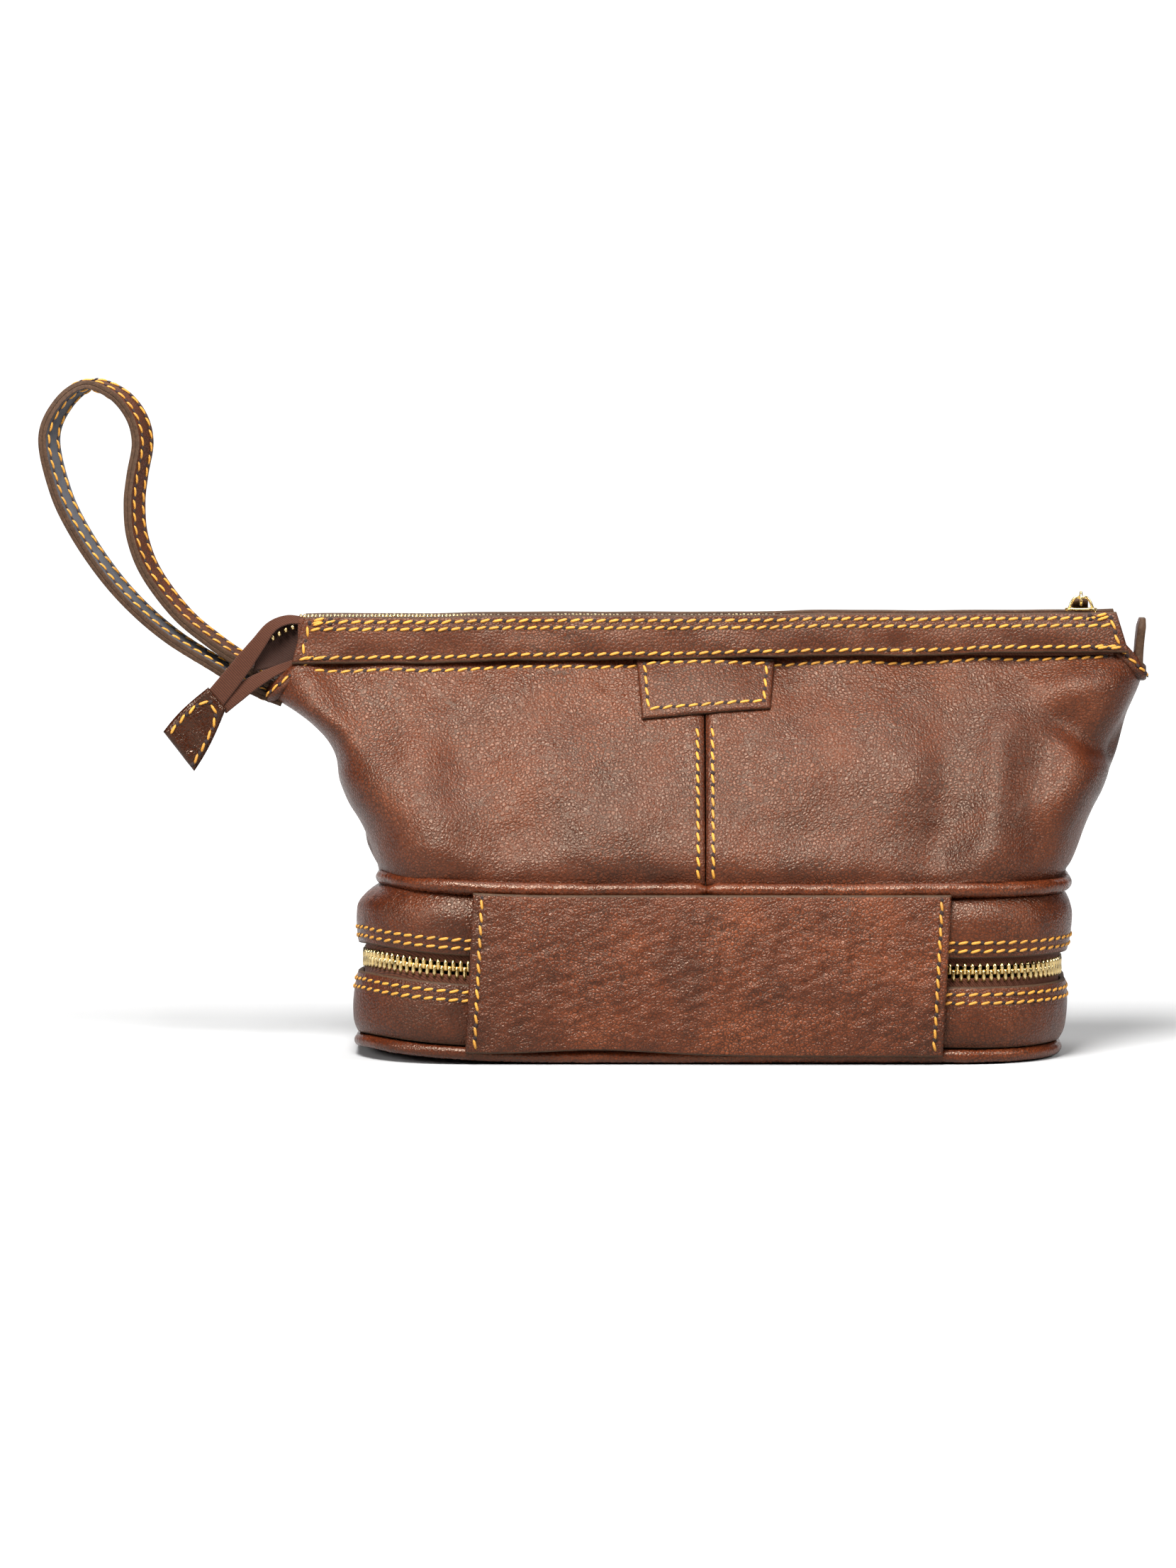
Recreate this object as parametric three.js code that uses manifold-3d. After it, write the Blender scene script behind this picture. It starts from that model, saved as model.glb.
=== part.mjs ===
// A leather wash bag for shaving gear: a wedge-shaped main compartment with a zipped mouth stands on a
// flat zipped base compartment, whose lower half opens like a clam shell on a leather hinge panel.
// Millimetres, +Z up, +X to the right, front towards -Y, origin at the centre of the base's underside.
import * as THREE from "three";
import { mergeVertices } from "three/addons/utils/BufferGeometryUtils.js";
import Module from "manifold-3d";

// Sheet goods
const leatherThickness = 2.0;
const liningThickness = 0.8;
const tapeThickness = 0.8;
const boardThickness = 1.8;
const clearance = 0.3;

// Base compartment
const baseHalfWidth = 118.5;
const baseHalfDepth = 50;
const baseCornerRadius = 35;
const pipingRadius = 2.2;
const pipingInset = 0.2;
const pipingStepLength = 9;
const pipingJoinPlace = 0.3;
const lowerBandHeight = 20.5;
const zipOpening = 9.5;
const upperBandHeight = 20;
const hingePanelWidth = 157;
const hingePanelCentre = -1.8;
const hingePanelOverlap = 10;

// Main compartment
const bodyHeight = 69.1;
const bodyInset = 2.5;
const bodyFlatBottom = 79;
const bodyFlatTop = 131.5;
const mouthHalfDepth = 8.2;
const gussetSquareness = 2.8;
const gussetRoundness = 2;
const gussetDip = 2.5;
const gussetStepsRound = 14;
const gussetStepsUp = 8;
const bindingHeight = 2.6;
const leftEndProfile = [111, 115.5, 122.5, 131, 140.5, 142];
const rightEndProfile = [117.5, 124, 132, 138, 141.5, 142.5];
const seamHalfGap = 0.2;
const patchTopWidth = 46;
const patchBottomWidth = 42;
const patchHeight = 18;
const patchCentre = -2;
const patchThickness = 1.6;

// Collars round the mouth
const collarHeight = 16.4;
const collarThickness = 2.2;
const collarHalfLength = 139.8;
const collarEndSlant = 4.2;
const collarLift = 0.4;
const collarStandOff = 0.5;
const tapeTurnDown = 10;

// Zips
const toothRowWidth = 2.5;
const toothRowGap = 1.0;
const chainThickness = 2.6;
const tapeWidth = 7.5;
const topChainDrop = 0.8;
const topChainHalfLength = 133.5;
const stopLength = 1.8;
const sliderLength = 10.5;
const sliderPlateThickness = 0.7;
const sliderHalfWidth = 2.4;
const sliderLift = 1.2;
const sliderWebThickness = 0.5;
const bridgeThickness = 0.9;
const bridgeSpanShare = 0.7;
const pullRingRadius = 2.2;
const pullRingWire = 0.5;
const pullRingPlay = 0.25;
const pullTabWidth = 7;
const pullTabThickness = 1.6;
const topPullLength = 28;
const basePullLength = 20;
const topPullDroop = THREE.MathUtils.degToRad(24);
const topSliderPlace = 124.3;
const baseSliderPlace = 6.2;

// Wrist strap, zip tail and holding tab
const strapWidth = 10;
const strapLayer = 1.45;
const strapLayerGap = 0.3;
const tailWidth = 9;
const tailThickness = 2.4;
const tailTeethWidth = 3;
const tailTeethHeight = 1;
const strapSteps = 48;
const tailSteps = 10;
const endTabLength = 22.5;
const endTabNarrow = 9;
const endTabWide = 17;
const endTabThickness = 2.8;
const holdingTabHeight = 15.6;
const holdingTabThickness = 2.6;
const holdingTabDepth = 11;
const holdingTabReach = 3;

// The strap's route in the XZ plane, from its lower root round the loop to its upper root
const strapRoute = [
  [-148.6, 118.9], [-158.5, 124.9], [-166, 129.5], [-180.3, 138.5], [-192.3, 148.7], [-202.7, 160.5],
  [-212.2, 174.9], [-218.3, 188.3], [-221.8, 205.5], [-216.9, 217.1], [-208.4, 223.2], [-199.2, 220.4],
  [-192.8, 213.1], [-190.5, 204.1], [-192.3, 193], [-193.3, 183.4], [-192.3, 172], [-187.6, 160],
  [-177.5, 146.5], [-166.4, 137.1], [-156.5, 130.3], [-147.8, 124.1],
];
// The zip tail's route, from the end of the mouth down to its end tab
const tailRoute = [
  [-141.4, -4.4, 141.1], [-148, -7.8, 136.9], [-157, -9.6, 128.3], [-166.3, -10.4, 118.9],
];

// Levels and outlines that follow from the sizes above
const lowerBandBottom = 2 * (pipingRadius + clearance);
const lowerBandTop = lowerBandBottom + lowerBandHeight;
const upperBandBottom = lowerBandTop + zipOpening;
const upperBandTop = upperBandBottom + upperBandHeight;
const baseChainLevel = (lowerBandTop + upperBandBottom) / 2;
const topPipingLevel = upperBandTop + clearance + pipingRadius;
const bodyBottom = topPipingLevel + pipingRadius + clearance;
const bodyTop = bodyBottom + bodyHeight;
const collarBottom = bodyTop + collarLift;
const collarTop = collarBottom + collarHeight;
const topChainLevel = collarTop - topChainDrop;
const bodyHalfDepth = baseHalfDepth - bodyInset;
const tapeInset = leatherThickness + clearance;
const liningInset = tapeInset + tapeThickness + clearance;
const chainInset = tapeInset + (tapeThickness - chainThickness) / 2;
const pipingPathInset = pipingRadius - pipingInset;
const floorInset = pipingPathInset + pipingRadius + clearance;
const wallRun = bodyHalfDepth - mouthHalfDepth;
const wallSlope = Math.hypot(wallRun, bodyHeight);
const wallDepthFactor = wallSlope / bodyHeight;
const chainHalfWidth = toothRowWidth + toothRowGap / 2;

const wasm = await Module();
wasm.setup();

const group = new THREE.Group();
const finishes = {
  leather: { color: 0x7a3a22, roughness: 0.34, metalness: 0 },
  darkLeather: { color: 0x3f1a10, roughness: 0.3, metalness: 0 },
  strapLeather: { color: 0x6e4438, roughness: 0.45, metalness: 0 },
  suede: { color: 0x5b5a60, roughness: 0.85, metalness: 0 },
  tape: { color: 0x6b3a22, roughness: 0.85, metalness: 0 },
  lining: { color: 0x6d5038, roughness: 0.8, metalness: 0 },
  board: { color: 0x8a7355, roughness: 0.9, metalness: 0 },
  brass: { color: 0xc8a252, roughness: 0.28, metalness: 1 },
};

// Puts a named piece with its own finish into the bag.
function add(name, geometry, finish) {
  const mesh = new THREE.Mesh(geometry, new THREE.MeshStandardMaterial(finishes[finish]));
  mesh.name = name;
  group.add(mesh);
}

// Merges a geometry's shared corners and turns its faces outwards.
function closed(geometry) {
  geometry.deleteAttribute("normal");
  geometry.deleteAttribute("uv");
  const merged = mergeVertices(geometry, 1e-4);
  const index = merged.index.array;
  const corners = [0, 1, 2].map(() => new THREE.Vector3());
  let volume = 0;
  for (let i = 0; i < index.length; i += 3) {
    corners.forEach((corner, k) => corner.fromBufferAttribute(merged.attributes.position, index[i + k]));
    volume += corners[0].dot(corners[1].clone().cross(corners[2]));
  }
  if (volume < 0) index.reverse();
  return merged;
}

function solidOf(geometry) {
  const merged = closed(geometry);
  return new wasm.Manifold(new wasm.Mesh({
    numProp: 3,
    vertProperties: merged.attributes.position.array,
    triVerts: new Uint32Array(merged.index.array),
  }));
}

function geometryOf(solid) {
  const mesh = solid.getMesh();
  const geometry = new THREE.BufferGeometry();
  geometry.setAttribute("position", new THREE.BufferAttribute(new Float32Array(mesh.vertProperties), 3));
  geometry.setIndex(new THREE.BufferAttribute(mesh.triVerts, 1));
  return geometry;
}

const cut = (from, tool) => geometryOf(solidOf(from).subtract(solidOf(tool)));
const join = (...pieces) => geometryOf(pieces.map(solidOf).reduce((whole, piece) => whole.add(piece)));

function box(xLow, xHigh, yLow, yHigh, zLow, zHigh) {
  const geometry = new THREE.BoxGeometry(xHigh - xLow, yHigh - yLow, zHigh - zLow);
  return geometry.translate((xLow + xHigh) / 2, (yLow + yHigh) / 2, (zLow + zHigh) / 2);
}

// A closed solid between two surfaces of (u, v), joined round their four edges.
function sheet(outer, inner, stepsU, stepsV) {
  const points = [];
  const faces = [];
  const perSide = (stepsU + 1) * (stepsV + 1);
  const at = (side, i, j) => side * perSide + i * (stepsV + 1) + j;
  const quad = (a, b, c, d) => faces.push(a, b, c, a, c, d);
  for (const surface of [outer, inner])
    for (let i = 0; i <= stepsU; i++)
      for (let j = 0; j <= stepsV; j++) points.push(...surface(i / stepsU, j / stepsV));
  for (let i = 0; i < stepsU; i++) {
    for (let j = 0; j < stepsV; j++) {
      quad(at(0, i, j), at(0, i + 1, j), at(0, i + 1, j + 1), at(0, i, j + 1));
      quad(at(1, i, j), at(1, i, j + 1), at(1, i + 1, j + 1), at(1, i + 1, j));
    }
    quad(at(0, i, 0), at(1, i, 0), at(1, i + 1, 0), at(0, i + 1, 0));
    quad(at(0, i, stepsV), at(0, i + 1, stepsV), at(1, i + 1, stepsV), at(1, i, stepsV));
  }
  for (let j = 0; j < stepsV; j++) {
    quad(at(0, 0, j), at(0, 0, j + 1), at(1, 0, j + 1), at(1, 0, j));
    quad(at(0, stepsU, j), at(1, stepsU, j), at(1, stepsU, j + 1), at(0, stepsU, j + 1));
  }
  const geometry = new THREE.BufferGeometry();
  geometry.setAttribute("position", new THREE.Float32BufferAttribute(points, 3));
  geometry.setIndex(faces);
  return closed(geometry);
}

// Traces a rounded rectangle, set in from the base's outline, on a shape or a path.
function traceBase(path, inset) {
  const width = baseHalfWidth - inset;
  const depth = baseHalfDepth - inset;
  const radius = baseCornerRadius - inset;
  const quarter = Math.PI / 2;
  path.moveTo(width, -depth + radius);
  [[1, 1], [-1, 1], [-1, -1], [1, -1]].forEach(([sideX, sideY], k) => {
    const start = k * quarter;
    path.absarc(sideX * (width - radius), sideY * (depth - radius), radius, start, start + quarter, false);
  });
  path.closePath();
  return path;
}

function basePlate(inset, low, high) {
  const shape = traceBase(new THREE.Shape(), inset);
  const depth = high - low;
  const geometry = new THREE.ExtrudeGeometry(shape, { depth, bevelEnabled: false, curveSegments: 6 });
  return geometry.translate(0, 0, low);
}

function baseRing(inset, thickness, low, high) {
  return cut(basePlate(inset, low, high), basePlate(inset + thickness, low - 1, high + 1));
}

// A ring round the base, open at the front where the hinge panel covers its two ends.
function baseRun(inset, thickness, low, high) {
  const half = hingePanelWidth / 2 - hingePanelOverlap;
  const mouth = box(hingePanelCentre - half, hingePanelCentre + half, -2 * baseHalfDepth, 0, low - 2, high + 2);
  return cut(baseRing(inset, thickness, low, high), mouth);
}

// The middle line of a piping round the base: a rounded rectangle that starts and ends at the back.
class PipingLine extends THREE.Curve {
  constructor(inset, level) {
    super();
    this.outline = traceBase(new THREE.Path(), inset);
    this.level = level;
    this.span = 1 - clearance / this.outline.getLength();
  }

  getPoint(t, target = new THREE.Vector3()) {
    const point = this.outline.getPointAt((pipingJoinPlace + t * this.span) % 1);
    return target.set(point.x, point.y, this.level);
  }
}

function piping(level) {
  const section = new THREE.Shape().absarc(0, 0, pipingRadius, 0, 2 * Math.PI, false);
  const extrudePath = new PipingLine(pipingPathInset, level);
  const steps = Math.round(extrudePath.outline.getLength() / pipingStepLength);
  return closed(new THREE.ExtrudeGeometry(section, { steps, curveSegments: 4, extrudePath }));
}

// A bar of constant section along X; the section's points are (y, z).
function barAlongX(section, xLow, xHigh) {
  const shape = new THREE.Shape(section.map(([y, z]) => new THREE.Vector2(y, z)));
  const geometry = new THREE.ExtrudeGeometry(shape, { depth: xHigh - xLow, bevelEnabled: false });
  const turn = new THREE.Matrix4().makeBasis(
    new THREE.Vector3(0, 1, 0), new THREE.Vector3(0, 0, 1), new THREE.Vector3(1, 0, 0),
  );
  return closed(geometry.applyMatrix4(turn).translate(xLow, 0, 0));
}

// Base compartment: the tray below the zip and the half that stays with the bag above it.
function addBase() {
  const boardBottom = leatherThickness + clearance;
  const lowerLiningBottom = Math.max(boardBottom + boardThickness + clearance, lowerBandBottom);
  const lowerLiningTop = lowerBandTop - clearance;
  const ceilingTop = upperBandTop - clearance;
  const upperLiningBottom = upperBandBottom + 2 * clearance;
  add("bottom_panel", closed(basePlate(floorInset, 0, leatherThickness)), "leather");
  add("bottom_piping", piping(pipingRadius), "darkLeather");
  add("bottom_stiffener_board", closed(basePlate(floorInset, boardBottom,
    boardBottom + boardThickness)), "board");
  add("base_lower_lining", cut(
    basePlate(liningInset, lowerLiningBottom, lowerLiningTop),
    basePlate(liningInset + liningThickness, lowerLiningBottom + liningThickness, upperBandTop),
  ), "lining");
  add("base_upper_lining", cut(
    basePlate(liningInset, upperLiningBottom, ceilingTop),
    basePlate(liningInset + liningThickness, lowerBandTop, ceilingTop - liningThickness),
  ), "lining");
  add("base_lower_band", baseRun(0, leatherThickness, lowerBandBottom, lowerBandTop), "leather");
  add("base_upper_band", baseRun(0, leatherThickness, upperBandBottom, upperBandTop), "leather");
  for (const [name, side] of [["lower", -1], ["upper", 1]]) {
    const rowNear = baseChainLevel + side * toothRowGap / 2;
    const rowFar = rowNear + side * toothRowWidth;
    const tapeNear = rowFar + side * clearance;
    const tapeFar = tapeNear + side * tapeWidth;
    const teeth = baseRun(chainInset, chainThickness, Math.min(rowNear, rowFar), Math.max(rowNear, rowFar));
    const tape = baseRun(tapeInset, tapeThickness, Math.min(tapeNear, tapeFar), Math.max(tapeNear, tapeFar));
    add(`base_zip_teeth_${name}`, teeth, "brass");
    add(`base_zip_tape_${name}`, tape, "tape");
  }
  const panelLow = hingePanelCentre - hingePanelWidth / 2;
  const panelBack = -baseHalfDepth - clearance;
  const panelFront = panelBack - leatherThickness;
  const hingeGap = clearance / 2;
  add("hinge_panel_lower", box(panelLow, panelLow + hingePanelWidth, panelFront, panelBack,
    lowerBandBottom, baseChainLevel - hingeGap), "leather");
  add("hinge_panel_upper", box(panelLow, panelLow + hingePanelWidth, panelFront, panelBack,
    baseChainLevel + hingeGap, upperBandTop), "leather");
  add("top_piping", piping(topPipingLevel), "darkLeather");
  const dividerBottom = upperBandTop + clearance;
  const dividerTop = dividerBottom + boardThickness;
  const floorLiningBottom = dividerTop + clearance;
  add("divider_board", closed(basePlate(floorInset, dividerBottom, dividerTop)), "board");
  add("main_floor_lining", closed(basePlate(floorInset + leatherThickness, floorLiningBottom,
    floorLiningBottom + liningThickness)), "lining");
}

const mix = THREE.MathUtils.lerp;
const bodyLevel = (v) => mix(bodyBottom, bodyTop, v);
const wallDepth = (v) => mix(bodyHalfDepth, mouthHalfDepth, v);
const flatHalf = (v) => mix(bodyFlatBottom, bodyFlatTop, v);

// A sloping wall's surface, set in from its outside; side is -1 at the front and 1 at the back.
function wallSurface(side, xAt, inset, vLow = 0, vHigh = 1) {
  return (u, k) => {
    const v = mix(vLow, vHigh, k);
    return [xAt(u, v), side * (wallDepth(v) - inset * wallDepthFactor), bodyLevel(v)];
  };
}

function wall(side, xAt, inset, thickness, vLow, vHigh) {
  const outer = wallSurface(side, xAt, inset, vLow, vHigh);
  return sheet(outer, wallSurface(side, xAt, inset + thickness, vLow, vHigh), 4, 3);
}

// The front and back walls with their collars and their halves of the mouth's zip.
function addWall(name, side) {
  const ends = [["left", -1], ["right", 1]];
  for (const [hand, sign] of ends) {
    const xAt = (u, v) => sign * mix(seamHalfGap, flatHalf(v), u);
    add(`${name}_panel_${hand}`, wall(side, xAt, 0, leatherThickness), "leather");
  }
  const liningAt = (u, v) => mix(-1, 1, u) * (flatHalf(v) - clearance);
  add(`${name}_lining`, wall(side, liningAt, leatherThickness + clearance, liningThickness), "lining");
  const collarBack = mouthHalfDepth + collarStandOff - collarThickness;
  const collarFace = (depth) => (u, v) => {
    const half = collarHalfLength - v * collarEndSlant;
    return [mix(-half, half, u), side * depth, mix(collarBottom, collarTop, v)];
  };
  const collar = sheet(collarFace(collarBack + collarThickness), collarFace(collarBack), 4, 1);
  add(`${name}_collar`, collar, "leather");
  const tapeOuter = collarBack - clearance;
  const tapeTop = topChainLevel + tapeThickness / 2;
  const tapeUnder = tapeTop - tapeThickness;
  const tapeInner = chainHalfWidth + clearance;
  const tapeHalf = collarHalfLength - collarEndSlant - clearance;
  const section = [
    [tapeInner, tapeUnder], [tapeOuter - tapeThickness, tapeUnder],
    [tapeOuter - tapeThickness, tapeTop - tapeTurnDown], [tapeOuter, tapeTop - tapeTurnDown],
    [tapeOuter, tapeTop], [tapeInner, tapeTop],
  ];
  const sided = (points) => points.map(([y, z]) => [side * y, z]);
  add(`${name}_zip_tape`, barAlongX(sided(section), -tapeHalf, tapeHalf), "tape");
  const row = [
    [toothRowGap / 2, topChainLevel - chainThickness / 2], [chainHalfWidth, topChainLevel - chainThickness / 2],
    [chainHalfWidth, topChainLevel + chainThickness / 2], [toothRowGap / 2, topChainLevel + chainThickness / 2],
  ];
  const teethEnd = topChainHalfLength - stopLength - clearance;
  add(`${name}_zip_teeth`, barAlongX(sided(row), -topChainHalfLength, teethEnd), "brass");
  add(`${name}_zip_stop`, barAlongX(sided(row), topChainHalfLength - stopLength, topChainHalfLength), "brass");
}

// The trapezium patch over the top of the front's middle seam.
function addPatch() {
  const vLow = 1 - patchHeight / wallSlope;
  const xAt = (u, v) => {
    const up = (v - vLow) / (1 - vLow);
    return patchCentre + mix(-0.5, 0.5, u) * mix(patchBottomWidth, patchTopWidth, up);
  };
  add("front_patch", wall(-1, xAt, -patchThickness - clearance, patchThickness, vLow, 1), "leather");
}

// The rounded end between the two walls. Its plan at each height is a half superellipse whose tip
// follows the end profile and whose ends meet the walls' edges.
function gussetSurface(sign, profile, inset) {
  const spline = new THREE.CatmullRomCurve3(profile.map((tip, i) => new THREE.Vector3(tip, i, 0)));
  return (u, v) => {
    const angle = mix(-Math.PI / 2, Math.PI / 2, u);
    const across = Math.max(Math.cos(angle), 0);
    const power = 2 / mix(gussetSquareness, gussetRoundness, v);
    const start = flatHalf(v) + clearance;
    const reach = spline.getPoint(v).x - inset - start;
    const depth = wallDepth(v) - inset * wallDepthFactor;
    const height = bodyHeight - bindingHeight - clearance - gussetDip * across;
    return [
      sign * (start + reach * across ** power),
      Math.sign(angle) * depth * Math.abs(Math.sin(angle)) ** power,
      bodyBottom + height * v,
    ];
  };
}

function addGusset(name, sign, profile) {
  const outer = gussetSurface(sign, profile, 0);
  const inner = gussetSurface(sign, profile, leatherThickness);
  add(`gusset_${name}`, sheet(outer, inner, gussetStepsRound, gussetStepsUp), "leather");
  const insideLeather = leatherThickness + clearance;
  const liningOuter = gussetSurface(sign, profile, insideLeather);
  const liningInner = gussetSurface(sign, profile, insideLeather + liningThickness);
  add(`gusset_lining_${name}`, sheet(liningOuter, liningInner, gussetStepsRound, gussetStepsUp), "lining");
  const rim = (surface) => (u, k) => {
    const [x, y, z] = surface(u, 1);
    return [x, y, z + mix(clearance, bindingHeight, k)];
  };
  add(`gusset_binding_${name}`, sheet(rim(outer), rim(inner), gussetStepsRound, 1), "darkLeather");
}

function addHoldingTab() {
  const xLow = collarHalfLength + holdingTabReach;
  const zLow = collarBottom;
  add("holding_tab", box(xLow, xLow + holdingTabThickness, -holdingTabDepth / 2, holdingTabDepth / 2,
    zLow, zLow + holdingTabHeight), "leather");
}

// A ribbon along a curve: at each point it spans a width across and a thickness from low to high.
function ribbon(curve, across, normal, width, low, high, steps) {
  const face = (height) => (u, v) => {
    const t = Math.min(Math.max(u, 0), 1);
    const point = curve.getPointAt(t);
    point.addScaledVector(across(t), mix(-0.5, 0.5, v) * width).addScaledVector(normal(t), height);
    return point.toArray();
  };
  return sheet(face(high), face(low), steps, 1);
}

function addStrap() {
  const curve = new THREE.CatmullRomCurve3(strapRoute.map(([x, z]) => new THREE.Vector3(x, 0, z)));
  const along = new THREE.Vector3(0, 1, 0);
  const outwards = (t) => curve.getTangentAt(t).cross(along).normalize();
  const inside = strapLayerGap / 2;
  const outside = inside + strapLayer;
  const layer = (low, high) => ribbon(curve, () => along, outwards, strapWidth, low, high, strapSteps);
  add("strap_outer_layer", layer(inside, outside), "strapLeather");
  add("strap_inner_layer", layer(-outside, -inside), "suede");
}

// The zip's end tape beyond the mouth, its teeth and the leather tab sewn round its end.
function addTail() {
  const curve = new THREE.CatmullRomCurve3(tailRoute.map((point) => new THREE.Vector3(...point)));
  const forwards = new THREE.Vector3(0, -1, 0);
  const across = (t) => curve.getTangentAt(t).cross(forwards).normalize();
  const half = tailThickness / 2;
  add("tail_tape", ribbon(curve, across, () => forwards, tailWidth, -half, half, tailSteps), "tape");
  const teethLow = half + clearance;
  add("tail_teeth", ribbon(curve, across, () => forwards, tailTeethWidth, teethLow,
    teethLow + tailTeethHeight, tailSteps), "brass");
  const end = curve.getPointAt(1);
  const run = curve.getTangentAt(1);
  const side = across(1);
  const tabFace = (height) => (u, v) => {
    const width = mix(endTabNarrow, endTabWide, u);
    const point = end.clone().addScaledVector(run, clearance + u * endTabLength);
    point.addScaledVector(side, mix(-0.5, 0.5, v) * width).addScaledVector(forwards, height);
    return point.toArray();
  };
  const tabHalf = endTabThickness / 2;
  add("tail_end_tab", sheet(tabFace(tabHalf), tabFace(-tabHalf), 1, 1), "darkLeather");
}

// A slider lies along X with its face up, at the height of its chain's middle. Its two plates are
// joined by a web between the rows of teeth, and its bridge holds the pull's ring.
function slider(lift) {
  const half = sliderLength / 2;
  const above = chainThickness / 2 + lift;
  const below = -chainThickness / 2 - clearance;
  const plate = (halfWidth, low) => {
    return box(-half, half, -halfWidth, halfWidth, low, low + sliderPlateThickness);
  };
  const web = sliderWebThickness / 2;
  const bar = bridgeLevel(lift);
  const rib = bridgeThickness / 2;
  const span = bridgeSpanShare * half;
  const post = (x) => box(x - rib, x + rib, -rib, rib, above, bar + rib);
  return join(
    plate(sliderHalfWidth, above),
    plate(chainHalfWidth, below - sliderPlateThickness),
    box(-half, half, -web, web, below - sliderPlateThickness / 2, above + sliderPlateThickness / 2),
    post(-span),
    post(span),
    box(-span, span, -rib, rib, bar - rib, bar + rib),
  );
}

// The middle of the bridge's bar above the chain's middle: the ring under it clears the plate.
function bridgeLevel(lift) {
  const plateTop = chainThickness / 2 + lift + sliderPlateThickness;
  return plateTop + pullRingReach() + clearance;
}

function pullRingOffset() {
  return pullRingRadius - pullRingWire - bridgeThickness / 2 - pullRingPlay;
}

function pullRingReach() {
  return pullRingRadius + pullRingWire + Math.sin(topPullDroop) * pullRingOffset();
}

// A pull points along +Y from its bridge: a ring round the bar and a leather tab that holds the ring.
function pullRing() {
  const ring = new THREE.TorusGeometry(pullRingRadius, pullRingWire, 6, 16);
  return closed(ring.rotateY(Math.PI / 2)).translate(0, pullRingOffset(), 0);
}

function pullTab(length) {
  const start = pullRingOffset() + pullRingRadius + pullRingWire + clearance;
  const half = pullTabWidth / 2;
  return box(-half, half, start, start + length, -pullTabThickness / 2, pullTabThickness / 2);
}

function addTopSlider() {
  const bar = topChainLevel + bridgeLevel(sliderLift);
  add("top_slider", slider(sliderLift).translate(topSliderPlace, 0, topChainLevel), "brass");
  const place = (geometry) => geometry.rotateX(-topPullDroop).translate(topSliderPlace, 0, bar);
  add("top_pull_ring", place(pullRing()), "brass");
  add("top_pull_tab", place(pullTab(topPullLength)), "darkLeather");
}

// The two base sliders meet at the middle of the back, with their pulls hanging down.
function addBaseSliders() {
  const chainDepth = baseHalfDepth - chainInset - chainThickness / 2;
  const quarter = Math.PI / 2;
  for (const [name, sign] of [["left", -1], ["right", 1]]) {
    const place = (geometry, depth) => {
      return geometry.rotateX(-quarter).translate(sign * baseSliderPlace, depth, baseChainLevel);
    };
    const bar = chainDepth + bridgeLevel(clearance);
    add(`base_slider_${name}`, place(slider(clearance), chainDepth), "brass");
    add(`base_pull_ring_${name}`, place(pullRing(), bar), "brass");
    add(`base_pull_tab_${name}`, place(pullTab(basePullLength), bar), "darkLeather");
  }
}

addBase();
addWall("front", -1);
addWall("back", 1);
addPatch();
addGusset("left", -1, leftEndProfile);
addGusset("right", 1, rightEndProfile);
addHoldingTab();
addStrap();
addTail();
addTopSlider();
addBaseSliders();

export default group;
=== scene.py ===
import bpy
import numpy as np
from bpy.props import FloatProperty, FloatVectorProperty, PointerProperty
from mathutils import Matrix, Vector


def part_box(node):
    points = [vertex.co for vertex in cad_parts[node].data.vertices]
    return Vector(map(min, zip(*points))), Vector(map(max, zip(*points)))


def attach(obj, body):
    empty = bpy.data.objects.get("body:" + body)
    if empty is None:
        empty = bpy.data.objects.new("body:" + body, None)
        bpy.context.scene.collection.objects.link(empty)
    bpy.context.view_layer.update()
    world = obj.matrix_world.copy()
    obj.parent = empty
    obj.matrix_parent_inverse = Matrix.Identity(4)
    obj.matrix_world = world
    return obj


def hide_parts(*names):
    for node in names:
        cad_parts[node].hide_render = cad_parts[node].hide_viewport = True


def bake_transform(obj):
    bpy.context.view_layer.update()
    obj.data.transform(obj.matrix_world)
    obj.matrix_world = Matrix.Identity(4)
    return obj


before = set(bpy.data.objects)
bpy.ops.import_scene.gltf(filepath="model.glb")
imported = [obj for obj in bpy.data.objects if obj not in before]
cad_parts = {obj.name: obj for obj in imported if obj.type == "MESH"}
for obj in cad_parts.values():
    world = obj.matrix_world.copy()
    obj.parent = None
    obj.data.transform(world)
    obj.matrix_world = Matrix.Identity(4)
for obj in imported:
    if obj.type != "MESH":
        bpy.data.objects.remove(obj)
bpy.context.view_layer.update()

bl_info = {
    "name": "Leather wash bag",
    "version": (1, 0, 0),
    "blender": (4, 5, 0),
    "location": "View3D > Sidebar > Wash bag",
    "description": "Builds a stitched leather wash bag with a zipped clam-shell base round its packed frame",
    "category": "Add Mesh",
}

MM = 0.001
RNG = np.random.default_rng(7)


def cad(node):
    """Lowest and highest corners of a CAD node in millimetres."""
    low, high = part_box(node)
    return np.array(low) / MM, np.array(high) / MM


# Levels and outlines read from the frame, in millimetres.
BAND_LOW, BAND_HIGH = cad("base_lower_band")
TOP_BAND_LOW, TOP_BAND_HIGH = cad("base_upper_band")
PANEL_LOW, PANEL_HIGH = cad("hinge_panel_lower")
WALL_LOW, WALL_HIGH = cad("front_panel_right")
COLLAR_LOW, COLLAR_HIGH = cad("front_collar")
TEETH_LOW, TEETH_HIGH = cad("front_zip_teeth")
PIPING_LOW, PIPING_HIGH = cad("top_piping")
BASE_WIDTH = BAND_HIGH[0]
BASE_DEPTH = BAND_HIGH[1]
BASE_RADIUS = 35.0
CHAIN_LEVEL = (BAND_HIGH[2] + TOP_BAND_LOW[2]) / 2
BODY_FOOT = WALL_LOW[2] - 0.8
BODY_TOP = WALL_HIGH[2] + 1.6
BODY_DEPTH = -WALL_LOW[1]
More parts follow.
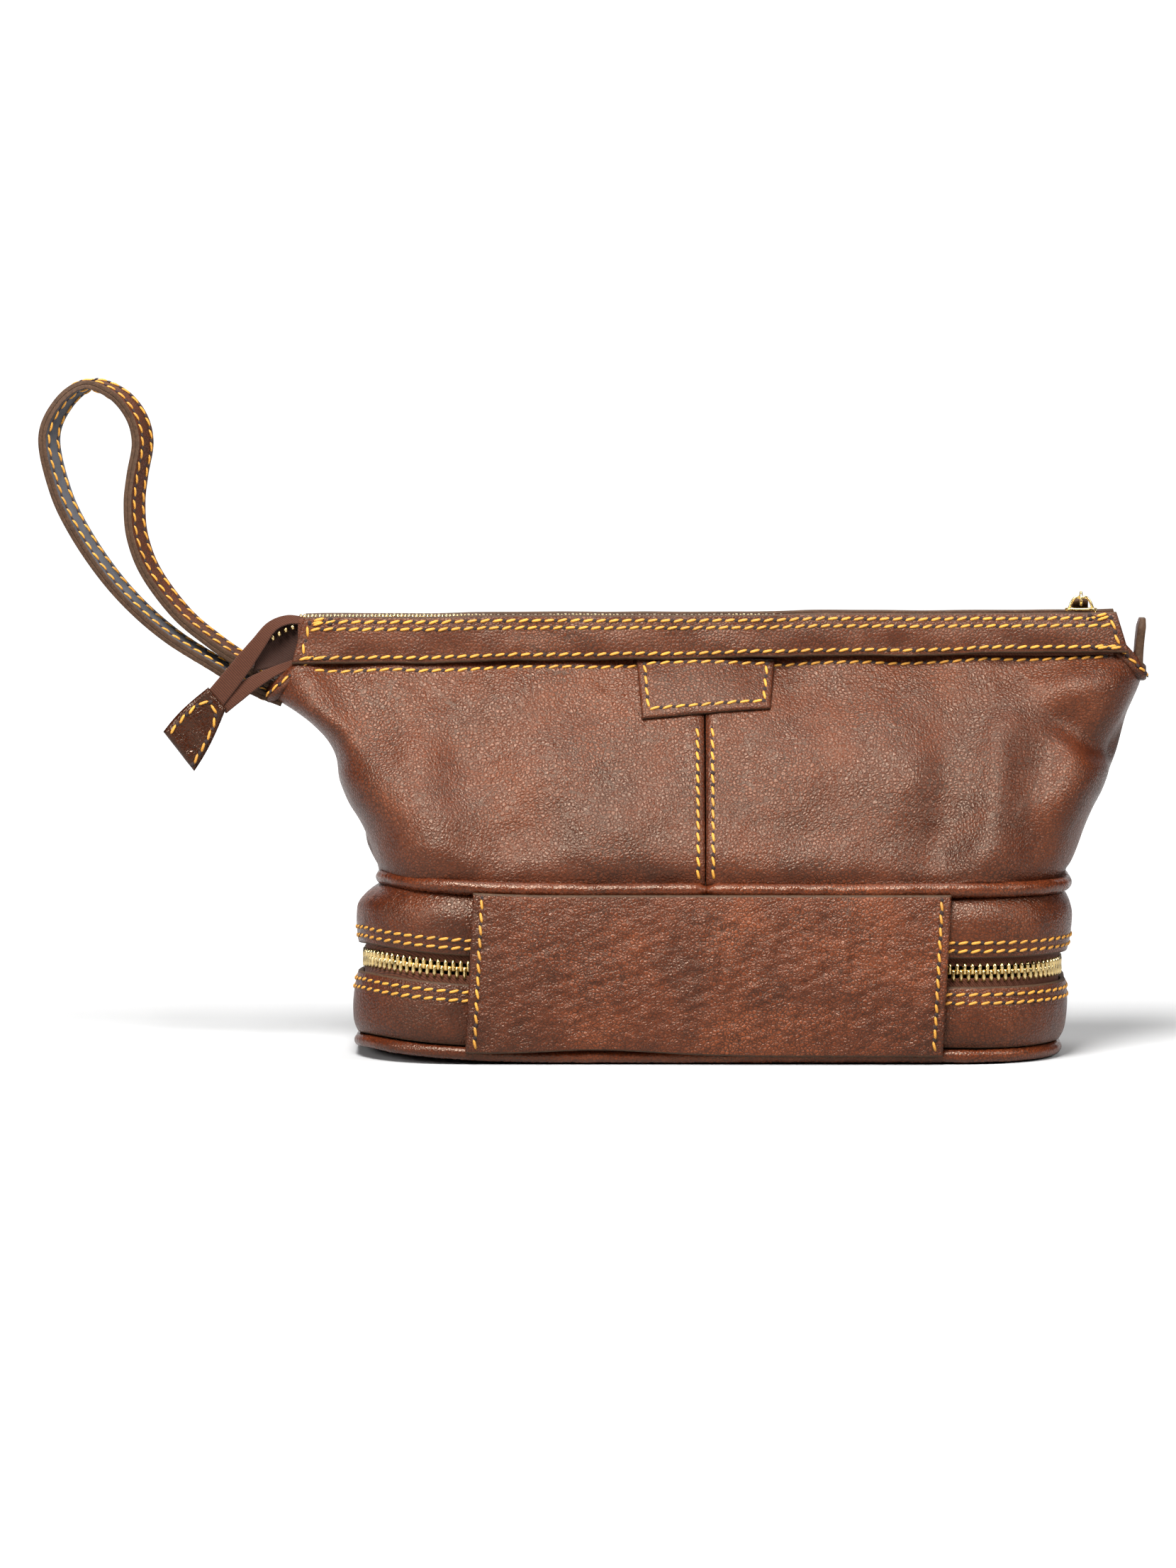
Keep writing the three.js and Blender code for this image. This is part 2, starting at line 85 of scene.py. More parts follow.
MOUTH_DEPTH = 8.6
FLAT_FOOT = 79.0
FLAT_TOP = 131.5
MOUTH_CHAIN_LEVEL = (TEETH_LOW[2] + TEETH_HIGH[2]) / 2
PIPING_LEVEL = (PIPING_LOW[2] + PIPING_HIGH[2]) / 2
PIPING_RADIUS = (PIPING_HIGH[2] - PIPING_LOW[2]) / 2
MOUTH_HALF = COLLAR_HIGH[0]


# ---------------------------------------------------------------- sizes and colours

def length(name, text, default):
    """A size property, given in millimetres."""
    return FloatProperty(name=name, description=text, default=default * MM, unit="LENGTH", precision=5)


def tint(name, text, default):
    """A colour property, given as linear red, green and blue."""
    return FloatVectorProperty(name=name, description=text, default=default, subtype="COLOR", size=3,
                               min=0.0, max=1.0)


class WashbagSizes(bpy.types.PropertyGroup):
    leather: length("Leather", "Thickness of the body leather", 2.0)
    lining: length("Lining", "Thickness of the cloth lining", 0.7)
    stitch_pitch: length("Stitch pitch", "Distance from one stitch to the next", 4.25)
    thread: length("Thread", "Thickness of the sewing thread", 0.95)
    tooth_pitch: length("Tooth pitch", "Distance between the teeth of one side of a zip", 2.5)
    strap_width: length("Strap width", "Width of the wrist strap", 10.0)
    strap_layer: length("Strap layer", "Thickness of each of the strap's two layers", 1.5)


class WashbagColours(bpy.types.PropertyGroup):
    # leather_dark is the leather's own darkest tone, in its mottling and the cracks of its grain; the painted
    # shade of the needle holes is made from it too.
    leather_dark: tint("Dark leather", "The leather's tone in folds and shade", (0.019, 0.0040, 0.0016))
    leather_mid: tint("Leather", "The leather's main tone", (0.070, 0.0140, 0.0040))
    leather_light: tint("Light leather", "The leather's rubbed tone", (0.112, 0.0255, 0.0075))
    raw_edge: tint("Raw edge", "Cut edges of the leather", (0.050, 0.026, 0.014))
    thread: tint("Thread", "The golden sewing thread", (0.52, 0.225, 0.020))
    tape: tint("Zip tape", "The zips' woven tape", (0.150, 0.042, 0.015))
    brass: tint("Brass", "Zip teeth and sliders", (0.66, 0.49, 0.22))
    lining: tint("Lining", "The cloth lining", (0.23, 0.13, 0.07))
    suede: tint("Suede", "The strap's inner layer", (0.040, 0.040, 0.046))


def sizes():
    """The bag's sizes, as the sidebar holds them."""
    return bpy.context.scene.washbag_sizes


def colours():
    """The bag's colours, as the sidebar holds them."""
    return bpy.context.scene.washbag_colours


# ---------------------------------------------------------------- materials

class Nodes:
    """Short names for building a material's node tree on Object coordinates."""

    def __init__(self, name):
        """A new material with its shader and its Object coordinates at hand."""
        self.material = bpy.data.materials.new(name)
        self.material.use_nodes = True
        self.tree = self.material.node_tree
        self.shader = self.tree.nodes["Principled BSDF"]
        self.place = self.add("ShaderNodeTexCoord").outputs["Object"]

    def add(self, kind, **settings):
        """A new node of a kind, with its settings."""
        node = self.tree.nodes.new(kind)
        for key, value in settings.items():
            setattr(node, key, value)
        return node

    def link(self, source, target):
        """Joins an output to an input."""
        self.tree.links.new(source, target)

    def noise(self, scale, detail=3.0, roughness=0.55, distortion=0.0):
        """Cloudy noise, about half a unit wide round a half; scale is its cells to the metre."""
        node = self.add("ShaderNodeTexNoise")
        node.inputs["Scale"].default_value = scale
        node.inputs["Detail"].default_value = detail
        node.inputs["Roughness"].default_value = roughness
        node.inputs["Distortion"].default_value = distortion
        self.link(self.place, node.inputs["Vector"])
        return node.outputs["Fac"]

    def cells(self, scale):
        """Pebbles: the distance to the nearest edge between cells, zero in the cracks."""
        node = self.add("ShaderNodeTexVoronoi", feature="DISTANCE_TO_EDGE")
        node.inputs["Scale"].default_value = scale
        self.link(self.place, node.inputs["Vector"])
        return node.outputs["Distance"]

    def wave(self, scale, distortion=0.0, direction="DIAGONAL"):
        """Bands across a direction, from zero to one."""
        node = self.add("ShaderNodeTexWave", bands_direction=direction)
        node.inputs["Scale"].default_value = scale
        node.inputs["Distortion"].default_value = distortion
        self.link(self.place, node.inputs["Vector"])
        return node.outputs["Fac"]

    def span(self, source, low, high, to_low=0.0, to_high=1.0):
        """A value taken straight from one range to another and held at its ends."""
        node = self.add("ShaderNodeMapRange")
        for socket, value in zip(("From Min", "From Max", "To Min", "To Max"), (low, high, to_low, to_high)):
            node.inputs[socket].default_value = value
        self.link(source, node.inputs["Value"])
        return node.outputs["Result"]

    def math(self, operation, a, b):
        """One sum of two values or outputs."""
        node = self.add("ShaderNodeMath", operation=operation)
        for socket, value in zip(node.inputs, (a, b)):
            if isinstance(value, (int, float)):
                socket.default_value = value
            else:
                self.link(value, socket)
        return node.outputs[0]

    def ramp(self, source, stops):
        """A colour by value, through stops of (value, colour)."""
        node = self.add("ShaderNodeValToRGB")
        elements = node.color_ramp.elements
        while len(elements) < len(stops):
            elements.new(0.5)
        for element, (at, colour) in zip(elements, stops):
            element.position = at
            element.color = (*colour, 1)
        self.link(source, node.inputs["Fac"])
        return node.outputs["Color"]

    def blend(self, factor, a, b, mode="MIX"):
        """Two colours mixed by a factor; each is a colour or an output."""
        node = self.add("ShaderNodeMix", data_type="RGBA", blend_type=mode)
        for socket, value in ((node.inputs[0], factor), (node.inputs[6], a), (node.inputs[7], b)):
            if isinstance(value, (int, float)):
                socket.default_value = value
            elif isinstance(value, tuple):
                socket.default_value = (*value, 1)
            else:
                self.link(value, socket)
        return node.outputs[2]

    def bump(self, height, strength, distance, normal=None):
        """A normal tilted by a height's slope, over an earlier normal if there is one."""
        node = self.add("ShaderNodeBump")
        node.inputs["Strength"].default_value = strength
        node.inputs["Distance"].default_value = distance
        self.link(height, node.inputs["Height"])
        if normal is not None:
            self.link(normal, node.inputs["Normal"])
        return node.outputs["Normal"]

    def set(self, **values):
        """Gives the shader's sockets their values or outputs, and returns the material."""
        names = {"base": "Base Color", "rough": "Roughness", "metal": "Metallic", "coat": "Coat Weight",
                 "coat_rough": "Coat Roughness", "sheen": "Sheen Weight", "normal": "Normal",
                 "specular": "Specular IOR Level"}
        for key, value in values.items():
            socket = self.shader.inputs[names[key]]
            if isinstance(value, (int, float)):
                socket.default_value = value
            elif isinstance(value, tuple):
                socket.default_value = (*value, 1)
            else:
                self.link(value, socket)
        return self.material


def scaled(colour, factor):
    """A colour made lighter or darker, held at one."""
    return tuple(min(c * factor, 1.0) for c in colour)


def leather_material(name, tone=1.0, grain=1.0, gloss=0.27, worn=1.0):
    """Vegetable-tanned leather: cloudy tone from two sizes of noise, darker cracks between pebbled cells,
    and a bump of cells, pores and slow waviness. Its shine is tinted warm."""
    n = Nodes(name)
    c = colours()
    clouds = n.noise(16, 5, 0.6, 0.6)
    smudges = n.noise(70, 4, 0.65, 0.4)
    mottled = n.math("ADD", n.math("MULTIPLY", clouds, 0.62), n.math("MULTIPLY", smudges, 0.38))
    tones = [(0.32, scaled(c.leather_dark, tone * 1.5)), (0.50, scaled(c.leather_mid, tone)),
             (0.68, scaled(c.leather_light, tone * worn))]
    colour = n.ramp(mottled, tones)
    cells = n.cells(830)
    fine = n.cells(1900)
    cracks = n.span(cells, 0.0, 0.17, 1.0, 0.0)
    patches = n.span(n.noise(38, 3, 0.6), 0.36, 0.62, 0.45, 1.0)
    colour = n.blend(n.math("MULTIPLY", cracks, patches), colour, scaled(c.leather_dark, tone))
    pores = n.noise(1500, 3, 0.6)
    pore_shade = n.ramp(pores, [(0.38, (0.22, 0.18, 0.16)), (0.56, (1.0, 1.0, 1.0))])
    colour = n.blend(0.55, colour, pore_shade, "MULTIPLY")
    dull = n.math("ADD", smudges, n.math("MULTIPLY", cracks, 0.4))
    rough = n.span(dull, 0.3, 0.9, gloss * 0.9, gloss * 1.6)
    slow = n.bump(n.noise(95, 4, 0.6, 0.6), 0.45, 0.0016)
    pebbles = n.bump(n.span(cells, 0.0, 0.30), 0.9 * grain, 0.00013, slow)
    normal = n.bump(n.math("ADD", n.span(fine, 0.0, 0.3), pores), 0.7 * grain, 0.00004, pebbles)
    n.shader.inputs["Specular Tint"].default_value = (1.0, 0.80, 0.62, 1.0)
    return n.set(base=colour, rough=rough, normal=normal, coat=0.0, specular=0.36)


def raw_edge_material():
    """Cut leather edge: fibrous, dull, with lighter fibres along the cut."""
    n = Nodes("raw leather edge")
    edge = tuple(colours().raw_edge)
    fibres = n.noise(900, 5, 0.7, 1.0)
    colour = n.ramp(fibres, [(0.3, scaled(edge, 0.45)), (0.55, edge), (0.75, scaled(edge, 1.7))])
    return n.set(base=colour, rough=n.span(fibres, 0.2, 0.8, 0.55, 0.8), specular=0.15,
                 normal=n.bump(fibres, 0.5, 0.0001))


def thread_material():
    """Twisted waxed thread: fine diagonal plies with a lighter crown."""
    n = Nodes("golden thread")
    thread = tuple(colours().thread)
    plies = n.wave(900, 0.6)
    tone = n.noise(60, 3, 0.6)
    colour = n.blend(n.span(tone, 0.3, 0.7), scaled(thread, 0.72), scaled(thread, 1.18))
    colour = n.blend(n.math("MULTIPLY", plies, 0.35), colour, scaled(thread, 0.4))
    return n.set(base=colour, rough=n.span(tone, 0.3, 0.7, 0.55, 0.7), normal=n.bump(plies, 0.4, 0.0001))


def hole_shade_material():
    """The dark of a needle hole, with a trace of leather tone."""
    n = Nodes("needle hole shade")
    dark = scaled(tuple(colours().leather_dark), 0.45)
    return n.set(base=n.blend(n.noise(800), dark, scaled(dark, 1.8)), rough=0.9)


def tape_material(name, tone=1.0):
    """Herringbone zip tape: two crossed diagonal waves and a nap."""
    n = Nodes(name)
    tape = tuple(colours().tape)
    twill = n.wave(620, 0.25)
    across = n.wave(1100, 0.2, "Z")
    weave = n.math("ADD", n.math("MULTIPLY", twill, 0.65), n.math("MULTIPLY", across, 0.35))
    nap = n.noise(1500, 3, 0.6)
    colour = n.ramp(weave, [(0.15, scaled(tape, 0.40 * tone)), (0.85, scaled(tape, 1.25 * tone))])
    colour = n.blend(n.math("MULTIPLY", nap, 0.25), colour, scaled(tape, 0.5 * tone))
    return n.set(base=colour, rough=n.span(nap, 0.2, 0.8, 0.75, 0.92), sheen=0.08, specular=0.2,
                 normal=n.bump(n.math("ADD", weave, nap), 0.6, 0.0001))


def cloth_material(name, colour, scale):
    """Plain woven lining: crossed yarns with slubs."""
    n = Nodes(name)
    yarns = n.math("MULTIPLY", n.wave(scale, 0.4, "X"), n.wave(scale, 0.4, "Z"))
    slubs = n.noise(240, 4, 0.6, 0.5)
    tone = n.ramp(n.math("ADD", n.math("MULTIPLY", yarns, 0.6), n.math("MULTIPLY", slubs, 0.4)),
                  [(0.1, scaled(colour, 0.5)), (0.6, colour), (0.9, scaled(colour, 1.3))])
    return n.set(base=tone, rough=n.span(slubs, 0.2, 0.8, 0.8, 0.95), sheen=0.25,
                 normal=n.bump(yarns, 0.5, 0.0003))


def suede_material():
    """Brushed suede: a soft nap with darker rubbed streaks."""
    n = Nodes("grey suede")
    suede = tuple(colours().suede)
    nap = n.noise(1300, 5, 0.75)
    rub = n.noise(90, 3, 0.6, 0.6)
    colour = n.blend(n.span(rub, 0.35, 0.7), scaled(suede, 0.7), scaled(suede, 1.35))
    colour = n.blend(n.math("MULTIPLY", nap, 0.4), colour, scaled(suede, 0.55))
    return n.set(base=colour, rough=n.span(nap, 0.2, 0.8, 0.75, 0.95), sheen=0.08, specular=0.15,
                 normal=n.bump(nap, 0.6, 0.0001))


def board_material():
    """Grey-brown millboard with pressed fibres."""
    n = Nodes("millboard")
    fibres = n.noise(420, 6, 0.7, 1.5)
    colour = n.ramp(fibres, [(0.3, (0.14, 0.10, 0.07)), (0.7, (0.33, 0.26, 0.18))])
    return n.set(base=colour, rough=0.85, normal=n.bump(fibres, 0.4, 0.0002))


def brass_material():
    """Polished zip brass: faint tarnish in the hollows and fine drawing scratches."""
    n = Nodes("zip brass")
    brass = tuple(colours().brass)
    tarnish = n.noise(260, 4, 0.6, 0.3)
    scratches = n.noise(3200, 2, 0.5, 0.2)
    colour = n.ramp(tarnish, [(0.3, scaled(brass, 0.62)), (0.6, brass), (0.8, scaled(brass, 1.2))])
    rough = n.span(n.math("ADD", tarnish, n.math("MULTIPLY", scratches, 0.3)), 0.3, 0.9, 0.16, 0.34)
    return n.set(base=colour, rough=rough, metal=1.0, normal=n.bump(scratches, 0.12, 0.00005))


MATERIALS = {
    "leather": lambda: leather_material("body leather", gloss=0.31),
    "collar leather": lambda: leather_material("collar leather", 0.9, 0.9, 0.36, 0.9),
    "panel leather": lambda: leather_material("panel leather", 1.2, 1.4, 0.28, 1.2),
    "base leather": lambda: leather_material("base leather", 1.0, 0.9, 0.28),
    "piping leather": lambda: leather_material("piping leather", 1.3, 0.5, 0.24),
    "tab leather": lambda: leather_material("dark tab leather", 0.42, 0.7, 0.20, 0.7),
    "strap leather": lambda: leather_material("strap leather", 0.8, 0.5, 0.5, 0.9),
    "raw edge": raw_edge_material,
    "thread": thread_material,
    # Painted shade for the needle holes between stitches.
    "hole shade": hole_shade_material,
    "tape": lambda: tape_material("brown zip tape", 0.5),
    "tail tape": lambda: tape_material("rust zip tape", 0.36),
    # The tape inside the tail's fold, made much darker as painted shade.
    "tape in painted shade": lambda: tape_material("zip tape in painted shade", 0.15),
    "lining": lambda: cloth_material("lining cloth", tuple(colours().lining), 900),
    "suede": suede_material,
    "board": board_material,
    "brass": brass_material,
}
_made = {}


def material(name):
    """The material of a finish, made when it is first asked for."""
    if name not in _made:
        _made[name] = MATERIALS[name]()
    return _made[name]


# ---------------------------------------------------------------- mesh making

def grid_faces(rows, columns, wrap_rows=False, wrap_columns=False):
    """Quads over a rows by columns grid of points, numbered row by row."""
    i = np.arange(rows if wrap_rows else rows - 1)
    j = np.arange(columns if wrap_columns else columns - 1)
    i, j = np.meshgrid(i, j, indexing="ij")
    up, right = (i + 1) % rows, (j + 1) % columns
    quads = np.stack([i * columns + j, up * columns + j, up * columns + right, i * columns + right], -1)
    return quads.reshape(-1, 4)


def signed_volume(points, quads):
    """Six times the volume inside a closed shell: the sum over faces of a . (b x c)."""
    a, b, c, d = (points[quads[:, k]] for k in range(4))
    return np.sum(a * np.cross(b, c)) + np.sum(a * np.cross(c, d))


def make_mesh(name, points, quads, finishes, face_finish=None, extra_faces=()):
    """A smooth-shaded mesh object from arrays in millimetres. finishes names its materials."""
    faces = quads.tolist() + [list(f) for f in extra_faces]
    mesh = bpy.data.meshes.new(name)
    mesh.from_pydata((points * MM).tolist(), [], faces)
    mesh.polygons.foreach_set("use_smooth", np.ones(len(faces), bool))
    if face_finish is not None:
        index = np.zeros(len(faces), np.int32)
        index[: len(face_finish)] = face_finish
        index[len(face_finish):] = len(finishes) - 1 if len(extra_faces) else 0
        mesh.polygons.foreach_set("material_index", index)
    for finish in finishes:
        mesh.materials.append(material(finish))
    mesh.validate()
    piece = bpy.data.objects.new(name, mesh)
    bpy.context.scene.collection.objects.link(piece)
    return piece


def fixed_cap(quads, cap):
    """Turns a cap so that its edges run against those of the faces it closes."""
    rolled = np.roll(quads, -1, axis=1)
    same = np.any((quads == cap[0]) & (rolled == cap[1]))
    return list(cap)[::-1] if same else list(cap)


def tube(points, wrap=False):
    """Faces of a closed tube over stations by section points by 3: the section closes on itself, and the
    ends are capped unless the stations wrap round. Returns flat points, quads and caps, facing out."""
    stations, around = points.shape[:2]
    quads = grid_faces(stations, around, wrap_rows=wrap, wrap_columns=True)
    flat = points.reshape(-1, 3)
    if signed_volume(flat - flat.mean(0), quads) < 0:
        quads = quads[:, ::-1]
    last = (stations - 1) * around
    ends = [] if wrap else [range(around), range(last, last + around)]
    return flat, quads, [fixed_cap(quads, list(end)) for end in ends]


def sweep(name, points, finishes, face_finish=None):
    """A mesh object from one tube. face_finish gives a finish for each face round the section."""
    flat, quads, caps = tube(points)
    if face_finish is not None:
        face_finish = np.tile(face_finish, len(quads) // len(face_finish))
    return make_mesh(name, flat, quads, finishes, face_finish, caps)


def assemble(name, tubes, finishes):
    """One mesh object from several tubes given as (points, wrap, finish number)."""
    points, quads, caps, quad_finish, cap_finish, start = [], [], [], [], [], 0
    for part, wrap, finish in tubes:
        flat, faces, ends = tube(part, wrap)
        points.append(flat)
        quads.append(faces + start)
        caps += [[i + start for i in end] for end in ends]
        quad_finish.append(np.full(len(faces), finish))
        cap_finish += [finish] * len(ends)
        start += len(flat)
    piece = make_mesh(name, np.concatenate(points), np.concatenate(quads), finishes, None, caps)
    index = np.concatenate(quad_finish + [np.array(cap_finish)]).astype(np.int32)
    piece.data.polygons.foreach_set("material_index", index[: len(piece.data.polygons)])
    return piece


def shell(name, outer, inner, finishes):
    """A closed sheet between two grids of points, with its four rims joined. The first finish is the
    outside, the second the inside and the last the rims."""
    rows, columns = outer.shape[:2]
    n = rows * columns
    flat = np.concatenate([outer.reshape(-1, 3), inner.reshape(-1, 3)])
    out_faces = grid_faces(rows, columns)
    in_faces = out_faces[:, ::-1] + n
    rim = np.concatenate([
        np.arange(columns), np.arange(1, rows) * columns + columns - 1,
        (rows - 1) * columns + np.arange(columns - 2, -1, -1), np.arange(rows - 2, 0, -1) * columns])
    following = np.roll(rim, -1)
    rims = np.stack([rim, following, following + n, rim + n], -1)
    quads = np.concatenate([out_faces, in_faces, rims])
    finish = np.concatenate([np.zeros(len(out_faces)), np.ones(len(in_faces)), np.full(len(rims), 2)])
    if signed_volume(flat - flat.mean(0), quads) < 0:
        quads = quads[:, ::-1]
    return make_mesh(name, flat, quads, finishes, np.minimum(finish, len(finishes) - 1))


def rounded_section(width, thickness, radius, along=12, corner=4):
    """Loop of a rounded rectangle: width across, thickness up, with along points on each long side.
    Returns the loop and, for each of its faces, 0 on the two long sides and 1 round the edges."""
    radius = min(radius, thickness / 2 * 0.98, width / 2 * 0.98)
    a, b = width / 2 - radius, thickness / 2 - radius
    turn = np.linspace(0, np.pi / 2, corner)
    loop, edge = [], []
    for k, (sx, sy) in enumerate([(1, 1), (-1, 1), (-1, -1), (1, -1)]):
        angles = turn + k * np.pi / 2
        arc = np.stack([sx * a + radius * np.cos(angles), sy * b + radius * np.sin(angles)], -1)
        loop.append(arc)
        edge.append(np.ones(corner - 1))
        if k in (0, 2):
            t = np.linspace(0, 1, along + 2)[1:-1]
            nxt = np.array([-sx * a, sy * b + sy * radius])
            side = arc[-1] + t[:, None] * (nxt - arc[-1])
            loop.append(side)
            edge.append(np.zeros(along + 1))
        else:
            edge.append(np.ones(1))
    return np.concatenate(loop), np.concatenate(edge)


def unit(v):
    """Vectors brought to length one."""
    return v / np.maximum(np.linalg.norm(v, axis=-1, keepdims=True), 1e-9)


def arc_lengths(path):
    """The distance along a polyline at each of its points."""
    return np.concatenate([[0], np.cumsum(np.linalg.norm(np.diff(path, axis=0), axis=1))])


def resample(path, at, *others):
    """Values of a polyline, and of arrays that go with it, at the distances at along it."""
    s = arc_lengths(path)
    return [np.stack([np.interp(at, s, values[:, k]) for k in range(values.shape[1])], -1)
            for values in (path, *others)]


def directions(path, at):
    """The direction of a polyline at the distances at along it, between points a little either side."""
    reach = 0.4
    total = arc_lengths(path)[-1]
    ahead = resample(path, np.clip(at + reach, 0, total))[0]
    behind = resample(path, np.clip(at - reach, 0, total))[0]
    return unit(ahead - behind)


def smooth_path(knots, count):
    """Catmull-Rom spline through the knots, at count even steps of arc length."""
    p = np.asarray(knots, float)
    p = np.concatenate([2 * p[:1] - p[1:2], p, 2 * p[-1:] - p[-2:-1]])
    t = np.linspace(0, 1, 24, endpoint=False)[None, :, None]
    a, b, c, d = (p[k:len(p) - 3 + k][:, None, :] for k in range(4))
    square, cube = 2 * a - 5 * b + 4 * c - d, 3 * b - a - 3 * c + d
    dense = 0.5 * (2 * b + (c - a) * t + square * t ** 2 + cube * t ** 3)
    dense = np.concatenate([dense.reshape(-1, p.shape[1]), p[-2:-1]])
    return resample(dense, np.linspace(0, arc_lengths(dense)[-1], count))[0]


def tangents(path):
    """The direction of a path at each of its points."""
    return unit(np.gradient(path, axis=0))


def waves(x, scale, seed):
    """Smooth pseudo-random waviness of about unit size: sines of growing pitch with seeded phases."""
    rng = np.random.default_rng(seed)
    total = np.zeros_like(np.asarray(x, float))
    for k in range(3):
        phase = rng.uniform(0, 2 * np.pi, 2)
        total += np.sin(x * 2 * np.pi * 2 ** k / scale + phase[0]) * 0.6 ** k
        total += np.sin(x * 2 * np.pi * 1.37 * 2 ** k / scale + phase[1]) * 0.4 ** (k + 1)
    return total / 1.6


def cloudy(x, z, scale, seed):
    """Smooth two-way waviness of about unit size: seeded plane waves of nearby pitches, summed."""
    terms = 14
    rng = np.random.default_rng(seed)
    total = np.zeros(np.broadcast(x, z).shape)
    for _ in range(terms):
        turn, phase, pitch = rng.uniform(0, np.pi), rng.uniform(0, 2 * np.pi), scale * rng.uniform(0.6, 1.7)
        total += np.sin((x * np.cos(turn) + z * np.sin(turn)) * 2 * np.pi / pitch + phase)
    return total / np.sqrt(terms)


# ---------------------------------------------------------------- stitches and teeth

def repeat(template, quads, origin, ex, ey, ez):
    """Copies of a small template mesh, one in each frame given by origins and three axes."""
    copies = len(origin)
    points = (origin[:, None, :] + template[None, :, 0:1] * ex[:, None, :]
              + template[None, :, 1:2] * ey[:, None, :] + template[None, :, 2:3] * ez[:, None, :])
    faces = quads[None] + (np.arange(copies) * len(template))[:, None, None]
    return points.reshape(-1, 3), faces.reshape(-1, 4)


def capped(flat, quads, loops):
    """Turns a tube's side faces outward and closes each end loop of six or eight points with quads."""
    if signed_volume(flat - flat.mean(0), quads) < 0:
        quads = quads[:, ::-1]
    fans = {6: [(0, 1, 2, 3), (0, 3, 4, 5)], 8: [(0, 1, 2, 3), (0, 3, 4, 7), (4, 5, 6, 7)]}
    caps = []
    for loop in loops:
        turned = fixed_cap(quads, list(loop))
        caps += [[turned[i] for i in fan] for fan in fans[len(turned)]]
    return flat, np.concatenate([quads, np.array(caps)])


def bead(length, width, height, rings=5):
    """A closed bead along X: elliptic rings whose size follows a rounded arc, its ends pinched shut."""
    sides = 6
    t = np.linspace(-1, 1, rings + 2)
    size = np.maximum(np.sqrt(np.clip(1 - t ** 4, 0, 1)), 0.22)
    angle = np.arange(sides) * 2 * np.pi / sides
    ring = np.stack([np.cos(angle) * width / 2, np.sin(angle) * height / 2], -1)
    points = np.zeros((rings + 2, sides, 3))
    points[:, :, 0] = (t * length / 2)[:, None]
    points[:, :, 1:] = ring[None] * size[:, None, None]
    last = (rings + 1) * sides
    return capped(points.reshape(-1, 3), grid_faces(rings + 2, sides, wrap_columns=True),
                  [range(sides), range(last, last + sides)])


def stitches(name, rows):
    """Sewing along rows of (path, normals): beads of thread a pitch apart, a little askew, their ends
    sunk in dark needle holes. One mesh holds every row."""
    slant, lift = 0.24, 0.20
    size = sizes()
    pitch, thread = size.stitch_pitch / MM, size.thread / MM
    stitch, stitch_quads = bead(pitch * 0.84, thread, thread * 0.8)
    stitch[:, 2] -= 0.35 * (2 * stitch[:, 0] / pitch) ** 2
    # Small dark discs at the needle holes: painted shade.
    hole, hole_quads = bead(1.6, 1.25, 0.5, rings=3)
    points, quads, finish, start = [], [], [], 0
    for path, normals in rows:
        total = arc_lengths(path)[-1]
        count = max(int(total / pitch), 1)
        at = (np.arange(count) + 0.5) * total / count
        middle, normal = resample(path, at, normals)
        along = directions(path, at)
        normal = unit(normal - along * np.sum(along * normal, -1, keepdims=True))
        across = np.cross(normal, along)
        askew = slant + RNG.normal(0, 0.05, count)[:, None]
        ex = unit(along + askew * across)
        ey = np.cross(normal, ex)
        for template, faces, shift, height, kind in ((stitch, stitch_quads, 0, lift, 0),
                                                     (hole, hole_quads, 0.5, 0.0, 1)):
            origin = middle + along * shift * total / count + normal * height
            p, q = repeat(template, faces, origin, ex, ey, normal)
            points.append(p)
            quads.append(q + start)
            finish.append(np.full(len(q), kind))
            start += len(p)
    return make_mesh(name, np.concatenate(points), np.concatenate(quads), ("thread", "hole shade"),
                     np.concatenate(finish))


def teeth(name, path, normals, across, reach=3.0, hook=0.9, phase=0.0):
    """One side of a metal zip: a tooth at each pitch, from reach on its own side of the chain's middle to
    hook past it. Each is a bar with a narrow neck and a round head."""
    size = sizes()
    pitch = size.tooth_pitch / MM
    total = arc_lengths(path)[-1]
    at = np.arange(0.5 + phase, total / pitch - 0.5) * pitch
    middle, normal, side = resample(path, at, normals, across)
    along = directions(path, at)
    stations = np.array([-reach, -reach * 0.55, -reach * 0.2, hook * 0.15, hook * 0.75, hook])
    width = np.array([1.35, 1.45, 1.15, 1.3, 1.35, 0.7]) / 2
    thick = np.array([2.3, 2.6, 2.5, 2.4, 1.9, 1.1]) / 2
    angle = np.pi / 8 + np.arange(8) * np.pi / 4
    ring = np.stack([np.cos(angle), np.sin(angle)], -1) / np.cos(np.pi / 8)
    template = np.zeros((6, 8, 3))
    template[:, :, 1] = stations[:, None]
    template[:, :, 0] = ring[None, :, 0] * width[:, None]
    template[:, :, 2] = ring[None, :, 1] * thick[:, None]
    sides = grid_faces(6, 8, wrap_columns=True)
    flat, quads = capped(template.reshape(-1, 3), sides, [range(8), range(40, 48)])
    points, faces = repeat(flat, quads, middle, along, unit(side), unit(normal))
    if signed_volume(points[: len(flat)] - points[: len(flat)].mean(0), faces[: len(quads)]) < 0:
        faces = faces[:, ::-1]
    return make_mesh(name, points, faces, ("brass",))


# ---------------------------------------------------------------- the bag's surfaces

SEAM = -2.2
BASE_LEAN = 0.05
BASE_CURL = 3.4
# About the length of the base's outline, for the pitch of what runs round it.
BASE_ROUND = 614
EAR_DIP = {-1: 10.5, 1: 7.0}
# Half-length of the bag's ends at a few levels: they flare into ears under the collar.
END_LEVELS = {
    -1: [(56, 110.5), (66, 113), (76, 116), (86, 120), (94, 123), (104, 126.2), (108, 129), (112, 135),
         (115, 141), (118, 148.2), (140, 151)],
    1: [(56, 117.5), (62, 120.5), (70, 122.8), (80, 126.5), (90, 132.3), (100, 136.3), (113, 139.5),
        (124, 144.5), (140, 147)],
}
